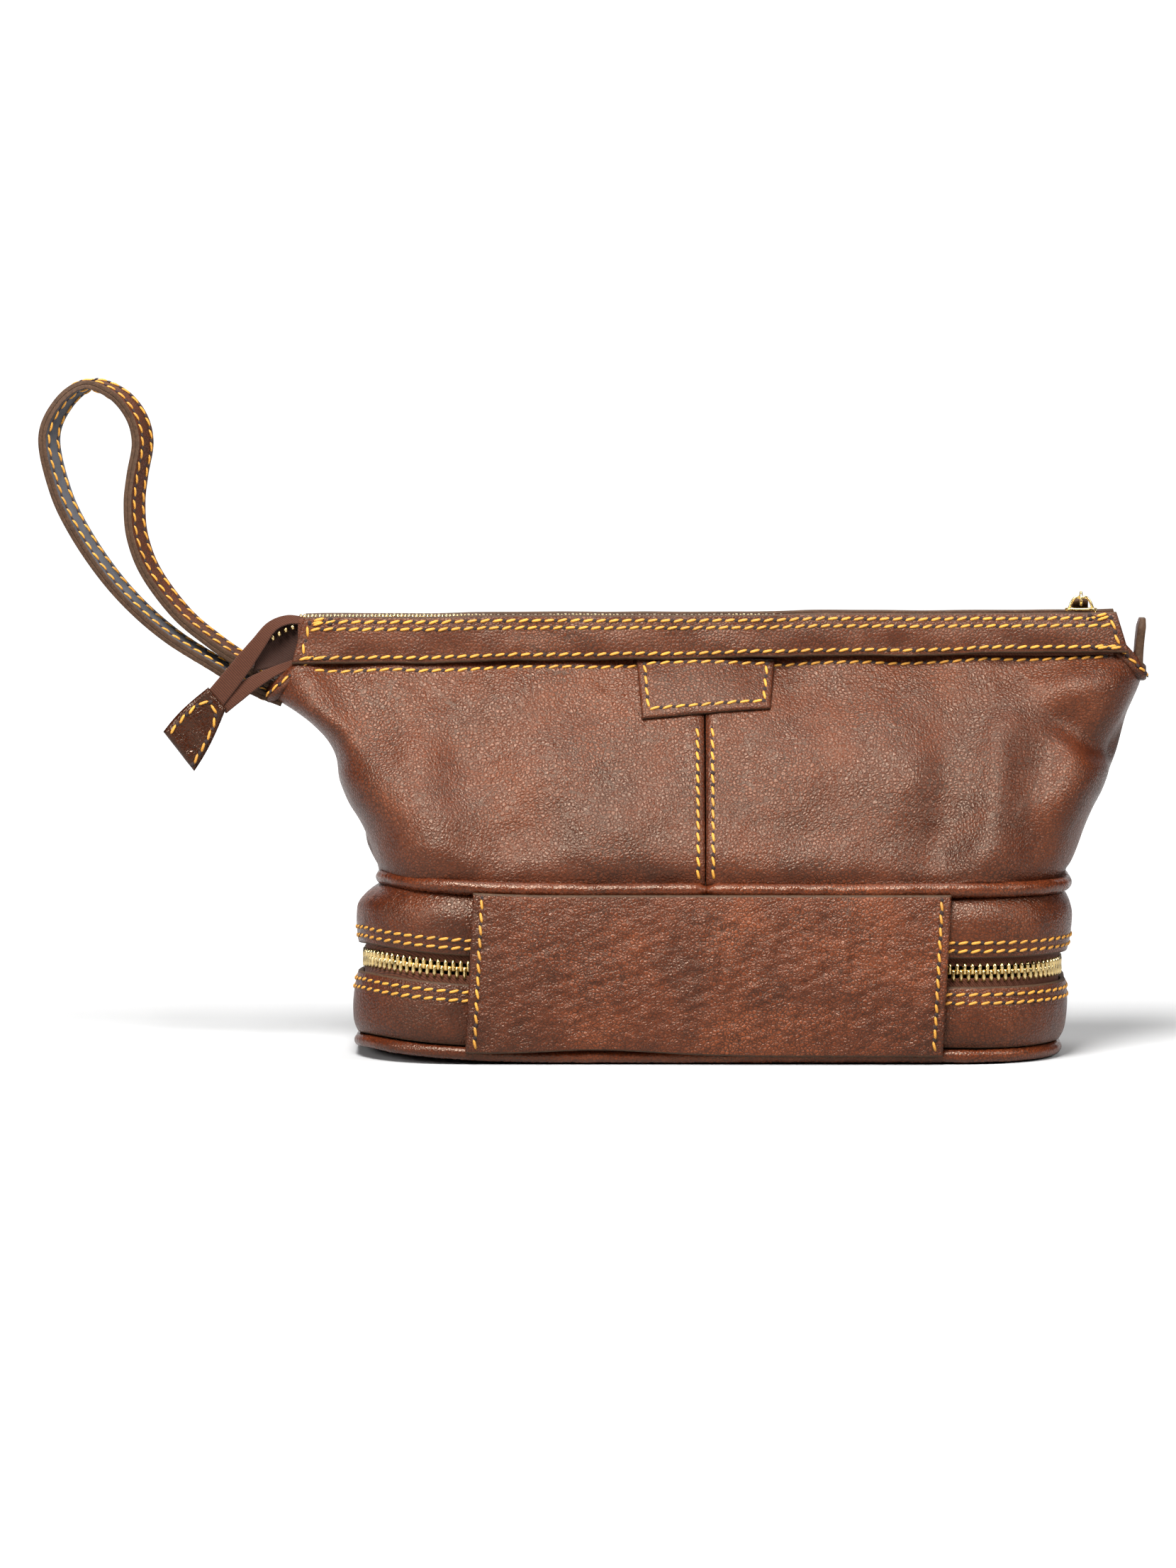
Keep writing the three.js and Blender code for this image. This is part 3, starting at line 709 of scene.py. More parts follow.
# Soft folds and dents of the front: from point, to point (x, z), half-width, height.
FRONT_FOLDS = [
    ((91, 64), (97, 108), 6.7, 2.4), ((74, 62), (78, 98), 7.8, -2.3), ((109, 66), (111, 104), 7.6, -2.3),
    ((118, 113), (133, 104), 6.2, -4.4), ((117, 121), (134, 125), 5.6, 1.9), ((120, 98), (116, 78), 9.0, 1.7),
    ((-138, 127), (-127, 106), 6.2, 2.2), ((-127, 106), (-119, 80), 8.4, 1.4),
    ((-122, 124), (-108, 98), 10.1, -1.9), ((-92, 66), (-98, 100), 11.2, 1.4),
    ((-76, 70), (-82, 100), 10.1, -1.0), ((30, 92), (58, 104), 15.7, 0.8),
    ((-44, 78), (-12, 72), 10.1, 1.0), ((-70, 108), (-40, 114), 9.0, -0.8),
]
BACK_FOLDS = [
    ((86, 66), (94, 108), 8.0, 1.9), ((104, 66), (108, 106), 8.0, -2.1), ((-98, 66), (-104, 106), 8.0, -1.9),
    ((-80, 64), (-84, 104), 9.0, 1.6), ((20, 88), (60, 96), 13.0, 0.9), ((112, 116), (131, 108), 6.5, -2.6),
]


def leaned(points):
    """The base and its trims lean a little to the right as they rise, and curl up at the left end,
    where the curl fades towards the back."""
    out = points.copy()
    out[..., 0] += BASE_LEAN * (out[..., 2] - 22)
    curl = np.clip((-out[..., 0] - 52) / 66, 0, 1.2) * np.clip(0.5 - out[..., 1] / 60, 0, 1)
    out[..., 2] += BASE_CURL * curl ** 2 * (1.6 - 0.6 * curl)
    return out


def end_half(hand, z):
    """Half-length of an end at level z: straight runs between the chosen levels, smoothed over 5 mm."""
    levels, halves = np.array(END_LEVELS[hand], float).T
    offsets = np.linspace(-6, 6, 9)
    weights = np.exp(-(offsets / 3.6) ** 2)
    values = sum(w * np.interp(z + o, levels, halves) for o, w in zip(offsets, weights))
    return values / weights.sum()


def ridge(x, z, start, end, half_width, height):
    """A soft fold: a bell across the line from start to end, faded towards the line's two ends."""
    ax, az = start
    dx, dz = end[0] - ax, end[1] - az
    span = np.hypot(dx, dz)
    along = ((x - ax) * dx + (z - az) * dz) / span
    across = ((x - ax) * dz - (z - az) * dx) / span
    reach = span / 2 + half_width
    faded = np.exp(-np.abs((along - span / 2) / reach) ** 4)
    return height * np.exp(-(across / half_width) ** 2) * faded


def relief(x, z, side, seam=1.0):
    """How far the leather stands out of its plain form: folds, slow waves, and the pull of seams."""
    folds = FRONT_FOLDS if side < 0 else BACK_FOLDS
    height = 1.25 * sum(ridge(x, z, *fold) for fold in folds)
    height = height + 0.95 * cloudy(x, z, 38, 3 + side) + 0.13 * cloudy(x, z, 12, 9 + side)
    height = height + 1.3 * np.exp(-((z - 67) / 6.5) ** 2) - 1.0 * np.exp(-((z - 60) / 2.2) ** 2)
    groove = 0.30 * np.exp(-((np.abs(x - SEAM) - 5.0) / 2.6) ** 2) - 0.75 * np.exp(-((x - SEAM) / 0.8) ** 2)
    pucker = np.sin(z * 2 * np.pi / 4.25) * np.exp(-((np.abs(x - SEAM) - 2.6) / 1.6) ** 2)
    return height + seam * (groove + 0.10 * pucker)


def body_form(side, hand, turn, share, z):
    """Points and outward directions of the main compartment. share runs along the flat stretch from the
    middle seam, turn round the end from 0 to a right angle; the plan is a superellipse that narrows to
    the mouth as it rises."""
    rise = np.clip((z - BODY_FOOT) / (BODY_TOP - BODY_FOOT), 0, 1.2)
    flat = FLAT_FOOT + (FLAT_TOP - FLAT_FOOT) * rise
    depth = BODY_DEPTH + (MOUTH_DEPTH - BODY_DEPTH) * rise + 5.6 * np.sin(np.pi * np.clip(rise, 0, 1) ** 0.9)
    reach = np.maximum(end_half(hand, z) - flat, 4.0)
    power = 0.72 + 0.28 * rise
    x = SEAM + (hand * flat - SEAM) * share
    x = np.where(turn > 0, hand * (flat + reach * np.sin(turn) ** power), x)
    y = side * depth * np.maximum(np.cos(turn), 0) ** power
    slope = 0.5 * np.cos(turn)
    out = np.stack(np.broadcast_arrays(hand * np.sin(turn), side * np.cos(turn), slope), -1)
    points = np.stack(np.broadcast_arrays(x, y, z), -1)
    return points, unit(out)


def rim_level(hand, share, turn):
    """Level of the body's top edge: tucked behind the collar, dipping at the ears."""
    x = SEAM + (hand * FLAT_TOP - SEAM) * np.where(turn > 0, 1.0, share)
    return collar_low(x) + 2.4 - (EAR_DIP[hand] + 1.6) * np.sin(turn) ** 1.5


def body_grid(side, hand, inset, across=120, up=76):
    """The grid of one quarter of the main compartment, from the middle seam round to the end's fold.
    Its columns reach the turn of the end at the knee."""
    knee = 0.62
    u = np.linspace(0, 1, across)[:, None]
    v = np.linspace(0, 1, up)[None, :]
    share = np.clip(u / knee, 0, 1)
    share = share + (0.0022 * (1 - share))
    turn = np.clip((u - knee) / (1 - knee), 0, 1) * np.pi / 2
    z = BODY_FOOT + (rim_level(hand, share, turn) - BODY_FOOT) * v
    points, out = body_form(side, hand, turn, share, z)
    fade = np.clip(np.abs(points[..., 1]) / 6.0, 0, 1) ** 0.7
    lift = relief(points[..., 0], points[..., 2], side) * fade - inset
    points = points + out * lift[..., None]
    points[..., 1] = side * np.maximum(side * points[..., 1], 0.0)
    return points


def on_body(side, x, z, lift=0.0, seam=1.0):
    """Points of the wall's surface at given x and z, raised by lift, with their outward directions."""
    x, z = np.broadcast_arrays(np.asarray(x, float), np.asarray(z, float))
    hand = np.where(x < 0, -1, 1)
    points, normals = np.zeros(x.shape + (3,)), np.zeros(x.shape + (3,))
    for which in (-1, 1):
        rise = (z - BODY_FOOT) / (BODY_TOP - BODY_FOOT)
        flat = FLAT_FOOT + (FLAT_TOP - FLAT_FOOT) * rise
        beyond = np.clip((which * x - flat) / np.maximum(end_half(which, z) - flat, 4.0), 0, 0.999)
        turn = np.arcsin(beyond ** (1 / (0.72 + 0.28 * rise)))
        share = (x - SEAM) / (which * flat - SEAM)
        p, n = body_form(side, which, turn, share, z)
        mine = (hand == which)[..., None]
        points, normals = np.where(mine, p, points), np.where(mine, n, normals)
    height = relief(x, z, side, seam) + lift
    return points + normals * height[..., None], normals


def follow_mouth(piece):
    """Blends a piece between the bag and its front (-1) or back (1) wall with the mouth's lens share."""
    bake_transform(piece)
    points = np.zeros(len(piece.data.vertices) * 3, np.float32)
    piece.data.vertices.foreach_get("co", points)
    return piece


def side_name(side):
    """The word for the front, -1, or the back, 1."""
    return "front" if side < 0 else "back"


def hand_name(hand):
    """The word for the left, -1, or the right, 1."""
    return "left" if hand < 0 else "right"


def make_body():
    """The four leather quarters of the main compartment, each from its middle seam round to the fold of
    its end."""
    for side in (-1, 1):
        for hand in (-1, 1):
            name = f"{side_name(side)}_half_{hand_name(hand)}"
            thickness = sizes().leather / MM
            outer, inner = body_grid(side, hand, 0.0), body_grid(side, hand, thickness)
            piece = shell(name, outer, inner, ("leather", "lining", "raw edge"))
            follow_mouth(piece)
            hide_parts(f"{side_name(side)}_panel_{hand_name(hand)}", f"gusset_{hand_name(hand)}")


def cloth(piece):
    """Declares a piece as cloth: the flat size it was cut to, and its area, half of its closed surface."""
    areas = np.zeros(len(piece.data.polygons), np.float32)
    piece.data.polygons.foreach_get("area", areas)


def make_linings():
    """The cloth lining inside each leather quarter."""
    for side in (-1, 1):
        for hand in (-1, 1):
            inset = sizes().leather / MM + 0.5
            outer = body_grid(side, hand, inset, 60, 36)
            inner = body_grid(side, hand, inset + sizes().lining / MM, 60, 36)
            name = f"{side_name(side)}_lining_{hand_name(hand)}"
            piece = shell(name, outer, inner, ("lining", "lining", "lining"))
            follow_mouth(piece)
            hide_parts(f"{side_name(side)}_lining", f"gusset_lining_{hand_name(hand)}")
            cloth(piece)


def make_seams():
    """The sewing beside the middle seams and under the collars."""
    for side in (-1, 1):
        foot = BODY_FOOT + 1.5
        top = BODY_TOP - 20.5 if side < 0 else BODY_TOP - 3
        rows = []
        for hand in (-1, 1):
            z = np.linspace(foot, top, 60)
            rows.append(on_body(side, np.full(60, SEAM + hand * 2.5), z))
        x = np.linspace(-133, 132, 240)
        x = x if side > 0 else x[(x < SEAM - 21.5) | (x > SEAM + 21.5)]
        for part in ((x < 0), (x > 0)):
            rows.append(on_body(side, x[part], collar_low(x[part]) - 2.4))
        follow_mouth(stitches(f"{side_name(side)}_seam_stitching", rows))


def make_bindings():
    """A folded leather strip over the top edge of each end, sewn through."""
    section, _ = rounded_section(5.6, 3.6, 1.1, 4)
    for side in (-1, 1):
        for hand in (-1, 1):
            u = np.linspace(0.03, 0.999, 70)
            turn = u * np.pi / 2
            z = rim_level(hand, np.ones_like(turn), turn)
            path, out = body_form(side, hand, turn, np.ones_like(turn), z)
            path = path - out * 0.6
            along = tangents(path)
            up = unit(np.cross(along, out))
            up = up * np.sign(up[:, 2:3])
            points = path[:, None] + up[:, None] * (section[None, :, :1] - 1.2)
            points = points + out[:, None] * section[None, :, 1:]
            name = f"{side_name(side)}_ear_binding_{hand_name(hand)}"
            piece = sweep(name, points, ("collar leather",))
            follow_mouth(piece)
            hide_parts(f"gusset_binding_{hand_name(hand)}")
            row = (path + out * 1.95 - up * 2.2, out)
            follow_mouth(stitches(name + "_stitching", [row]))


def collar_low(x):
    """Level of the collar's lower edge: it climbs to the right and waves a little."""
    climb = 4.3 * np.clip((x + MOUTH_HALF) / (2 * MOUTH_HALF), 0, 1)
    return COLLAR_LOW[2] + 0.6 + climb + 0.3 * waves(x, 80, 4)


def collar_top(x):
    """Level of the collar's upper edge: it climbs a little to the right and waves."""
    return COLLAR_HIGH[2] + 0.3 + 1.5 * (x + MOUTH_HALF) / (2 * MOUTH_HALF) + 0.22 * waves(x, 110, 5)


def collar_face(side, x, share, lift=0.0):
    """Points of the collar's outer face; share runs from its lower edge to its upper edge."""
    low, top = collar_low(x), collar_top(x)
    z = low + (top - low) * share
    slant = 1 - 0.030 * share * np.clip(np.abs(x) / MOUTH_HALF, 0, 1) ** 6
    belly = 0.6 * np.sin(np.pi * share) + 0.30 * cloudy(x, z * 2, 34, 21 + side) + 0.10 * cloudy(x, z, 9, 24)
    y = side * (11.6 - 1.9 * share + belly + lift)
    points = np.stack(np.broadcast_arrays(x * slant, y, z), -1)
    normals = np.broadcast_to([0.0, side, 0.12], points.shape)
    return points, unit(normals)


def make_collars():
    """The leather collar along each side of the mouth, with its sewing and the tacks at its ends."""
    thickness, width = 2.1, 16.0
    for side in (-1, 1):
        section, edge = rounded_section(width, thickness, 0.7, 16)
        x = np.linspace(-MOUTH_HALF - 0.6, MOUTH_HALF, 260)
        share = section[:, 0] / width + 0.5
        points, out = collar_face(side, x[:, None], share[None, :])
        points = points + out * (section[None, :, 1:] - thickness / 2)
        piece = sweep(f"{side_name(side)}_collar_leather", points, ("collar leather", "raw edge"), edge)
        follow_mouth(piece)
        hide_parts(f"{side_name(side)}_collar")
        inside = x[(x > -MOUTH_HALF + 2.4) & (x < MOUTH_HALF - 3.0)]
        height = collar_top(inside) - collar_low(inside)
        rows = [collar_face(side, inside, 1 - 2.0 / height), collar_face(side, inside, 1 - 4.4 / height),
                collar_face(side, inside, 2.0 / height)]
        for end in (-MOUTH_HALF + 2.2, MOUTH_HALF - 2.8):
            upright = np.linspace(0.14, 0.86, 30)
            rows.append(collar_face(side, np.full(30, end), upright))
            for share in (0.12, 0.84, 0.93):
                tack = end + np.sign(-end) * np.linspace(-1.2, 8.0, 12)
                rows.append(collar_face(side, tack, np.full(12, share), 0.25))
        follow_mouth(stitches(f"{side_name(side)}_collar_stitching", rows))


def make_patch():
    """A trapezium patch that follows the front's surface and covers the seam's top."""
    thickness = 1.7
    top = COLLAR_LOW[2] - 0.4

    def place(u, v, lift):
        """Points of the patch by shares across and up it, raised by lift."""
        z_low = 112.4 + 3.2 * u
        z = z_low + (top + 2.6 - z_low) * v
        half = 21.4 + 1.8 * v
        return on_body(-1, SEAM + 0.4 + (2 * u - 1) * half, z, lift, 0.0)

    u = np.linspace(0, 1, 60)[:, None]
    v = np.linspace(0, 1, 30)[None, :]
    rim = np.minimum(np.minimum(u, 1 - u) * 42, np.minimum(v, 1 - v) * 17)
    soft = 0.5 * np.clip(rim / 0.8, 0, 1) ** 0.5
    outer, _ = place(u, v, thickness - 0.5 + soft)
    inner, _ = place(u, v, 0.12)
    patch = shell("seam_patch", outer, inner, ("collar leather", "raw edge", "raw edge"))
    follow_mouth(patch)
    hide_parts("front_patch")
    t = np.linspace(0.055, 0.945, 60)
    low, high = 0.14, 0.90
    upright = low + (high - low) * np.linspace(0, 1, 60)
    edges = ((t, np.full(60, low)), (np.full(60, 0.055), upright), (np.full(60, 0.945), upright),
             (t, np.full(60, high)))
    rows = [place(us, vs, thickness) for us, vs in edges]
    follow_mouth(stitches("seam_patch_stitching", rows))


def make_mouth_zip():
    """Tapes, teeth and end stops of the mouth's zip, front and back."""
    level = MOUTH_CHAIN_LEVEL
    for side in (-1, 1):
        x = np.linspace(-MOUTH_HALF + 1.5, MOUTH_HALF - 5, 240)
        line = np.array([(2.6, 0.0), (5.0, 0.05), (7.2, 0.1), (8.3, -0.7), (8.6, -2.5), (8.8, -12.0)])
        line = smooth_path(line, 20)
        normal = np.stack([-tangents(line)[:, 1], tangents(line)[:, 0]], -1)
        loop = np.concatenate([line + normal * 0.4, (line - normal * 0.4)[::-1]])
        sag = 0.15 * waves(x, 60, 11 + side)
        points = np.stack(np.broadcast_arrays(
            x[:, None], side * loop[None, :, 0], level + loop[None, :, 1] + sag[:, None]), -1)
        tape = sweep(f"{side_name(side)}_tape", points, ("tape",))
        follow_mouth(tape)
        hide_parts(f"{side_name(side)}_zip_tape")
        cloth(tape)
        run = np.linspace(-MOUTH_HALF + 1.0, TEETH_HIGH[0], 200)
        path = np.stack(np.broadcast_arrays(run, 0.0, level + 0.15 * waves(run, 60, 10)), -1)
        row = teeth(f"{side_name(side)}_teeth", path, np.broadcast_to([0, 0, 1.0], path.shape),
                    np.broadcast_to([0, -side * 1.0, 0], path.shape), phase=0.5 * (side > 0))
        follow_mouth(row)
        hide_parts(f"{side_name(side)}_zip_teeth")
        stop_x = TEETH_HIGH[0] + 1.4
        stop = bar_between((stop_x, side * 0.5, level), (stop_x, side * 3.2, level), (1.5, 2.8))
        stop = assemble(f"{side_name(side)}_stop", [(stop, False, 0)], ("brass",))
        follow_mouth(stop)
        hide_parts(f"{side_name(side)}_zip_stop")


def bar_between(start, end, size):
    """A bar with rounded ends and section between two points; size is its width and height."""
    start, end = np.array(start, float), np.array(end, float)
    along = unit(end - start)
    helper = np.array([0, 0, 1.0]) if abs(along[2]) < 0.8 else np.array([1.0, 0, 0])
    across = unit(np.cross(helper, along))
    up = np.cross(along, across)
    section, _ = rounded_section(1.0, size[1] / size[0], 0.3, 1, 3)
    t = np.linspace(0, 1, 7)
    swell = np.clip(1 - (2 * t - 1) ** 6, 0, 1) * 0.35 + 0.65
    middle = start + (end - start) * t[:, None]
    loop = section * size[0]
    return middle[:, None] + (across * loop[None, :, :1] + up * loop[None, :, 1:]) * swell[:, None, None]


def round_wire(path, radius, sides):
    """A round tube round a closed path: circles square to it, turned with its bend."""
    along = unit(np.roll(path, -1, 0) - np.roll(path, 1, 0))
    outward = path - path.mean(0)
    side = unit(outward - along * np.sum(outward * along, -1, keepdims=True))
    up = np.cross(along, side)
    angle = (np.arange(sides) * 2 * np.pi / sides)[None, :, None]
    return path[:, None] + radius * (side[:, None] * np.cos(angle) + up[:, None] * np.sin(angle))


def placed(points, origin, axes):
    """Points given along three axes from an origin."""
    return np.asarray(origin) + points @ np.asarray(axes, float)


def outline_plate(outline, low, high):
    """A plate over a plan outline: rings that shrink by a quarter round at its top and bottom."""
    round_edge = 0.25
    centre = outline.mean(0)
    steps = np.linspace(0, np.pi / 2, 4)
    rings = []
    for base, sign in ((low, -1), (high, 1)):
        order = steps[::-1] if sign < 0 else steps
        for angle in order:
            inset = round_edge * (1 - np.cos(angle))
            shrink = outline - unit(outline - centre) * inset
            level = base - sign * round_edge * (1 - np.sin(angle))
            rings.append(np.column_stack([shrink, np.full(len(outline), level)]))
    return np.array(rings)


def slider_parts(lift):
    """A zip slider along X with its face up: a shield-shaped face plate with turned-down flanges, a back
    plate, the post between the two rows of teeth, and a bridge with two humps."""
    t = np.linspace(0, 2 * np.pi, 40, endpoint=False)
    half, bridge, back = 5.4, 4.0, -2.6
    wide = 3.6 + 0.9 * np.clip(-np.cos(t), -0.4, 1)
    face = np.stack([half * np.sign(np.cos(t)) * np.abs(np.cos(t)) ** 0.75,
                     wide * np.sign(np.sin(t)) * np.abs(np.sin(t)) ** 0.6], -1)
    top = 1.5 + lift
    plates = [outline_plate(face, top, top + 0.9), outline_plate(face * 0.97, back, back + 0.8)]
    post = bar_between((-4.6, 0, top + 0.2), (-4.6, 0, back + 0.4), (0.9, 0.9))
    x = np.linspace(-bridge, bridge, 40)
    dip = 0.55 * np.exp(-(x / 0.8) ** 2)
    height = top + 0.6 + 4.1 * np.clip(1 - np.abs(x / bridge) ** 3.2, 0, 1) - dip
    arch = np.stack([x, np.zeros_like(x), height], -1)
    along = tangents(arch)
    section, _ = rounded_section(1.5, 0.9, 0.35, 2, 3)
    up = np.cross(along, [0, 1.0, 0])
    across = section[None, :, :1] * np.array([0, 1.0, 0])
    hoop = arch[:, None] + across + up[:, None] * section[None, :, 1:]
    return [(points, False, 0) for points in (*plates, post, hoop)]


def pull_ring_points(middle, spread, axes_u, axes_v):
    """The wire of a pull's ring, round a middle in the plane of two axes."""
    angle = np.linspace(0, 2 * np.pi, 28, endpoint=False)
    path = middle + spread * (np.cos(angle)[:, None] * axes_u + np.sin(angle)[:, None] * axes_v)
    return round_wire(path, 0.5, 8)


def leather_tab(name, node, body, start, along, across, up, length_, width_near, width_far, thickness):
    """A small leather tab: a crowned sheet that widens to a rounded end, sewn round its edge."""
    u = np.linspace(0, 1, 36)[:, None]
    v = np.linspace(-1, 1, 18)[None, :]
    round_off = np.clip((u - 0.86) / 0.14, 0, 1)
    half = (width_near + (width_far - width_near) * u) / 2 * np.sqrt(1 - 0.55 * round_off ** 2)
    bow = 0.5 * np.sin(np.pi * u)

    def face(height):
        """One face of the tab, at a height over its middle."""
        crown = height * (1 - 0.25 * v ** 4)
        return (start + along * (u * length_)[..., None] + across * (half * v)[..., None]
                + up * (crown + bow)[..., None])

    piece = shell(name, face(thickness / 2), face(-thickness / 2), ("tab leather", "raw edge", "raw edge"))
    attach(piece, body)
    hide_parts(node)
    rows = []
    for sign in (-1, 1):
        t = np.linspace(0.1, 0.9, 30)[:, None]
        edge_half = (width_near + (width_far - width_near) * t) / 2 - 1.3
        lift = thickness / 2 + 0.5 * np.sin(np.pi * t)
        line = start + along * (t * length_) + across * (sign * edge_half) + up * lift
        rows.append((line, np.broadcast_to(up, line.shape)))
    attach(stitches(name + "_stitching", rows), body)


def make_mouth_slider():
    """The mouth's slider, with its ring and tab."""
    low, high = cad("top_slider")
    origin = np.array([(low[0] + high[0]) / 2, 0.0, MOUTH_CHAIN_LEVEL])
    axes = np.eye(3) * [[-1], [1], [1]]
    parts = [(placed(p, origin, axes), w, f) for p, w, f in slider_parts(1.0)]
    slider = assemble("mouth_slider", parts, ("brass",))
    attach(slider, "top_slider")
    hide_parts("top_slider")
    make_pull("mouth_pull", "top_pull", "top_pull_ring", "top_pull_tab")


def make_pull(name, body, ring_node, tab_node):
    """A pull: a brass ring through the bridge and a sewn leather tab, lying as their CAD solids lie."""
    ring_low, ring_high = cad(ring_node)
    tab_low, tab_high = cad(tab_node)
    ring_middle, tab_middle = (ring_low + ring_high) / 2, (tab_low + tab_high) / 2
    along = unit(tab_middle - ring_middle)
    up = np.array([0, -along[2], along[1]])
    if up[2] < 0 or abs(up[2]) < 0.3:
        up = np.array([0, 1.0, 0]) if abs(along[2]) > 0.9 else -up
    ring = pull_ring_points(ring_middle - along * 0.55, 2.15, along, up)
    loop = assemble(name + "_ring", [(ring, True, 0)], ("brass",))
    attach(loop, body)
    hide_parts(ring_node)
    reach = np.linalg.norm(tab_high[1:] - tab_low[1:])
    reach = reach if abs(along[2]) < 0.9 else tab_high[2] - tab_low[2]
    start = tab_middle - along * (reach / 2 + 1.1)
    leather_tab(name + "_tab", tab_node, body, start, along, np.array([1.0, 0, 0]), up, reach, 5.0, 7.6, 1.6)


# ---------------------------------------------------------------- the base

def base_line(inset, start=0.0, end=1.0, count=420):
    """A stretch of the base's outline, a rounded rectangle, by share of its length from the front's middle
    round the left end, the back and the right end. Returns points and outward directions in plan."""
    width, depth, radius = BASE_WIDTH - inset, BASE_DEPTH - inset, BASE_RADIUS - inset
    corner = np.linspace(0, np.pi / 2, 30)
    points, normals = [np.array([[0, -depth]])], [np.array([[0, -1.0]])]
    for sx, sy, first in ((-1, -1, -90), (-1, 1, 180), (1, 1, 90), (1, -1, 0)):
        angle = np.radians(first) - corner
        out = np.stack([np.cos(angle), np.sin(angle)], -1)
        points.append(np.array([sx * (width - radius), sy * (depth - radius)]) + radius * out)
        normals.append(out)
    points.append(points[0])
    normals.append(normals[0])
    points, normals = np.concatenate(points), np.concatenate(normals)
    share = np.linspace(start, end, count)
    share = np.where(share > 1, share - 1, share)
    xy, out = resample(points, share * arc_lengths(points)[-1], normals)
    return xy, unit(out)


def base_share(x):
    """The share of the outline's length at which it passes x on the front, going left or right."""
    total = arc_lengths(base_line(0.0, count=2000)[0])[-1]
    return -x / total if x < 0 else 1 - x / total


def base_band(name, node, body, low, high, bulge, seed):
    """A leather band round the base, open behind the hinge panel, with a soft outward belly."""
    height, thickness = high - low, sizes().leather / MM
    start, end = base_share(PANEL_LOW[0] + 9), base_share(PANEL_HIGH[0] - 9)
    xy, out = base_line(1.0, start, end, 440)
    section, edge = rounded_section(height, thickness, 0.5, 16)
    across = section[:, 0] / height
    belly = bulge * (1 - (2 * across) ** 2)
    s = np.linspace(0, BASE_ROUND, len(xy))
    ripple = 0.22 * cloudy(s[:, None], section[None, :, 0], 30, seed)
    offset = section[None, :, 1] + belly[None, :] + ripple
    points = np.concatenate([
        xy[:, None] + out[:, None] * offset[..., None],
        np.broadcast_to((low + high) / 2 + section[None, :, :1], (len(xy), len(section), 1))], -1)
    points[..., 2] += (0.25 * waves(s, 140, seed))[:, None] * (1 - np.abs(across)[None, :])
    reach, depth, tuck = (9.0, 3.2, 4.0) if body == "bag" else (-5.0, 1.2, 0.0)
    edge_level = high if body == "bag" else low
    shoulder = np.clip(1 - (edge_level - points[..., 2]) / reach, 0, 1.2) ** 2
    points[..., :2] -= out[:, None] * (depth * shoulder)[..., None]
    points[..., 0] += tuck * np.clip((-points[..., 0] - 70) / 46, 0, 1) * shoulder
    band = sweep(name, leaned(points), ("base leather", "raw edge"), edge)
    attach(band, body)
    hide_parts(node)
    rows = []
    zip_side = 1 if body == "base_tray" else -1
    zip_edge = high if body == "base_tray" else low
    for inset in (2.5, 5.3):
        start, end = base_share(PANEL_LOW[0] + 1), base_share(PANEL_HIGH[0] - 1)
        line, normal = base_line(0.0, start, end, 440)
        level = zip_edge - zip_side * inset
        share = (level - (low + high) / 2) / height
        line = line + normal * (bulge * (1 - (2 * share) ** 2))
        path = np.column_stack([line, np.full(len(line), level)])
        rows.append((leaned(path), np.column_stack([normal, np.zeros(len(line))])))
    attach(stitches(name + "_stitching", rows), body)


def make_bands():
    """The tray's band below the base's zip and the bag's band above it."""
    base_band("tray_band", "base_lower_band", "base_tray", BAND_LOW[2], BAND_HIGH[2], 1.1, 31)
    base_band("upper_band", "base_upper_band", "bag", TOP_BAND_LOW[2], TOP_BAND_HIGH[2] + 0.6, 1.3, 32)


def make_base_zip():
    """Tapes and teeth of the base's zip, which runs round from one side of the hinge panel to the other."""
    start, end = base_share(PANEL_LOW[0] + 7), base_share(PANEL_HIGH[0] - 7)
    for name, body, side in (("lower", "base_tray", -1), ("upper", "bag", 1)):
        xy, out = base_line(2.7, start, end, 420)
        centre = CHAIN_LEVEL + side * 6.2
        section, _ = rounded_section(8.4, 0.8, 0.35, 8, 3)
        points = np.concatenate([
            xy[:, None] + out[:, None] * section[None, :, 1:],
            np.broadcast_to(centre + section[None, :, :1], (len(xy), len(section), 1))], -1)
        tape = sweep(f"base_tape_{name}", leaned(points), ("tape",))
        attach(tape, body)
        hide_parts(f"base_zip_tape_{name}")
        path = leaned(np.column_stack([xy, np.full(len(xy), CHAIN_LEVEL)]))
        normals = np.column_stack([out, np.zeros(len(xy))])
        row = teeth(f"base_teeth_{name}", path, normals, np.broadcast_to([0, 0, -side * 1.0], path.shape),
                    phase=0.5 * (side > 0))
        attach(row, body)
        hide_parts(f"base_zip_teeth_{name}")


# Creases of the hinge panel: from point, to point (x, z), half-width, height.
PANEL_CREASES = [
    ((34, 52), (41, 8), 1.3, -0.7), ((40, 50), (46, 20), 1.8, 0.6),
    ((-60, 50), (-56, 12), 4.0, 0.6), ((4, 30), (70, 24), 6.0, 0.5),
]


def panel_point(x, z):
    """The hinge panel's outer surface: a crowned sheet that tucks in at both pipings, wrinkled by use."""
    low, high = 2.2, TOP_BAND_HIGH[2] + 1.4
    share = np.clip((z - low) / (high - low), 0, 1)
    belly = 2.4 * np.sin(np.pi * share) ** 0.6
    wrinkles = 0.24 * cloudy(x * 1.5, z * 0.8, 11, 41) + 0.16 * cloudy(x * 0.9, z * 1.8, 6, 42)
    creases = sum(ridge(x, z, *crease) for crease in PANEL_CREASES)
    y = -(BASE_DEPTH + 1.6 + belly + wrinkles * np.sin(np.pi * share) ** 0.3 + creases)
    points = np.stack(np.broadcast_arrays(x, y, z), -1)
    return points, np.broadcast_to([0, -1.0, 0], points.shape)


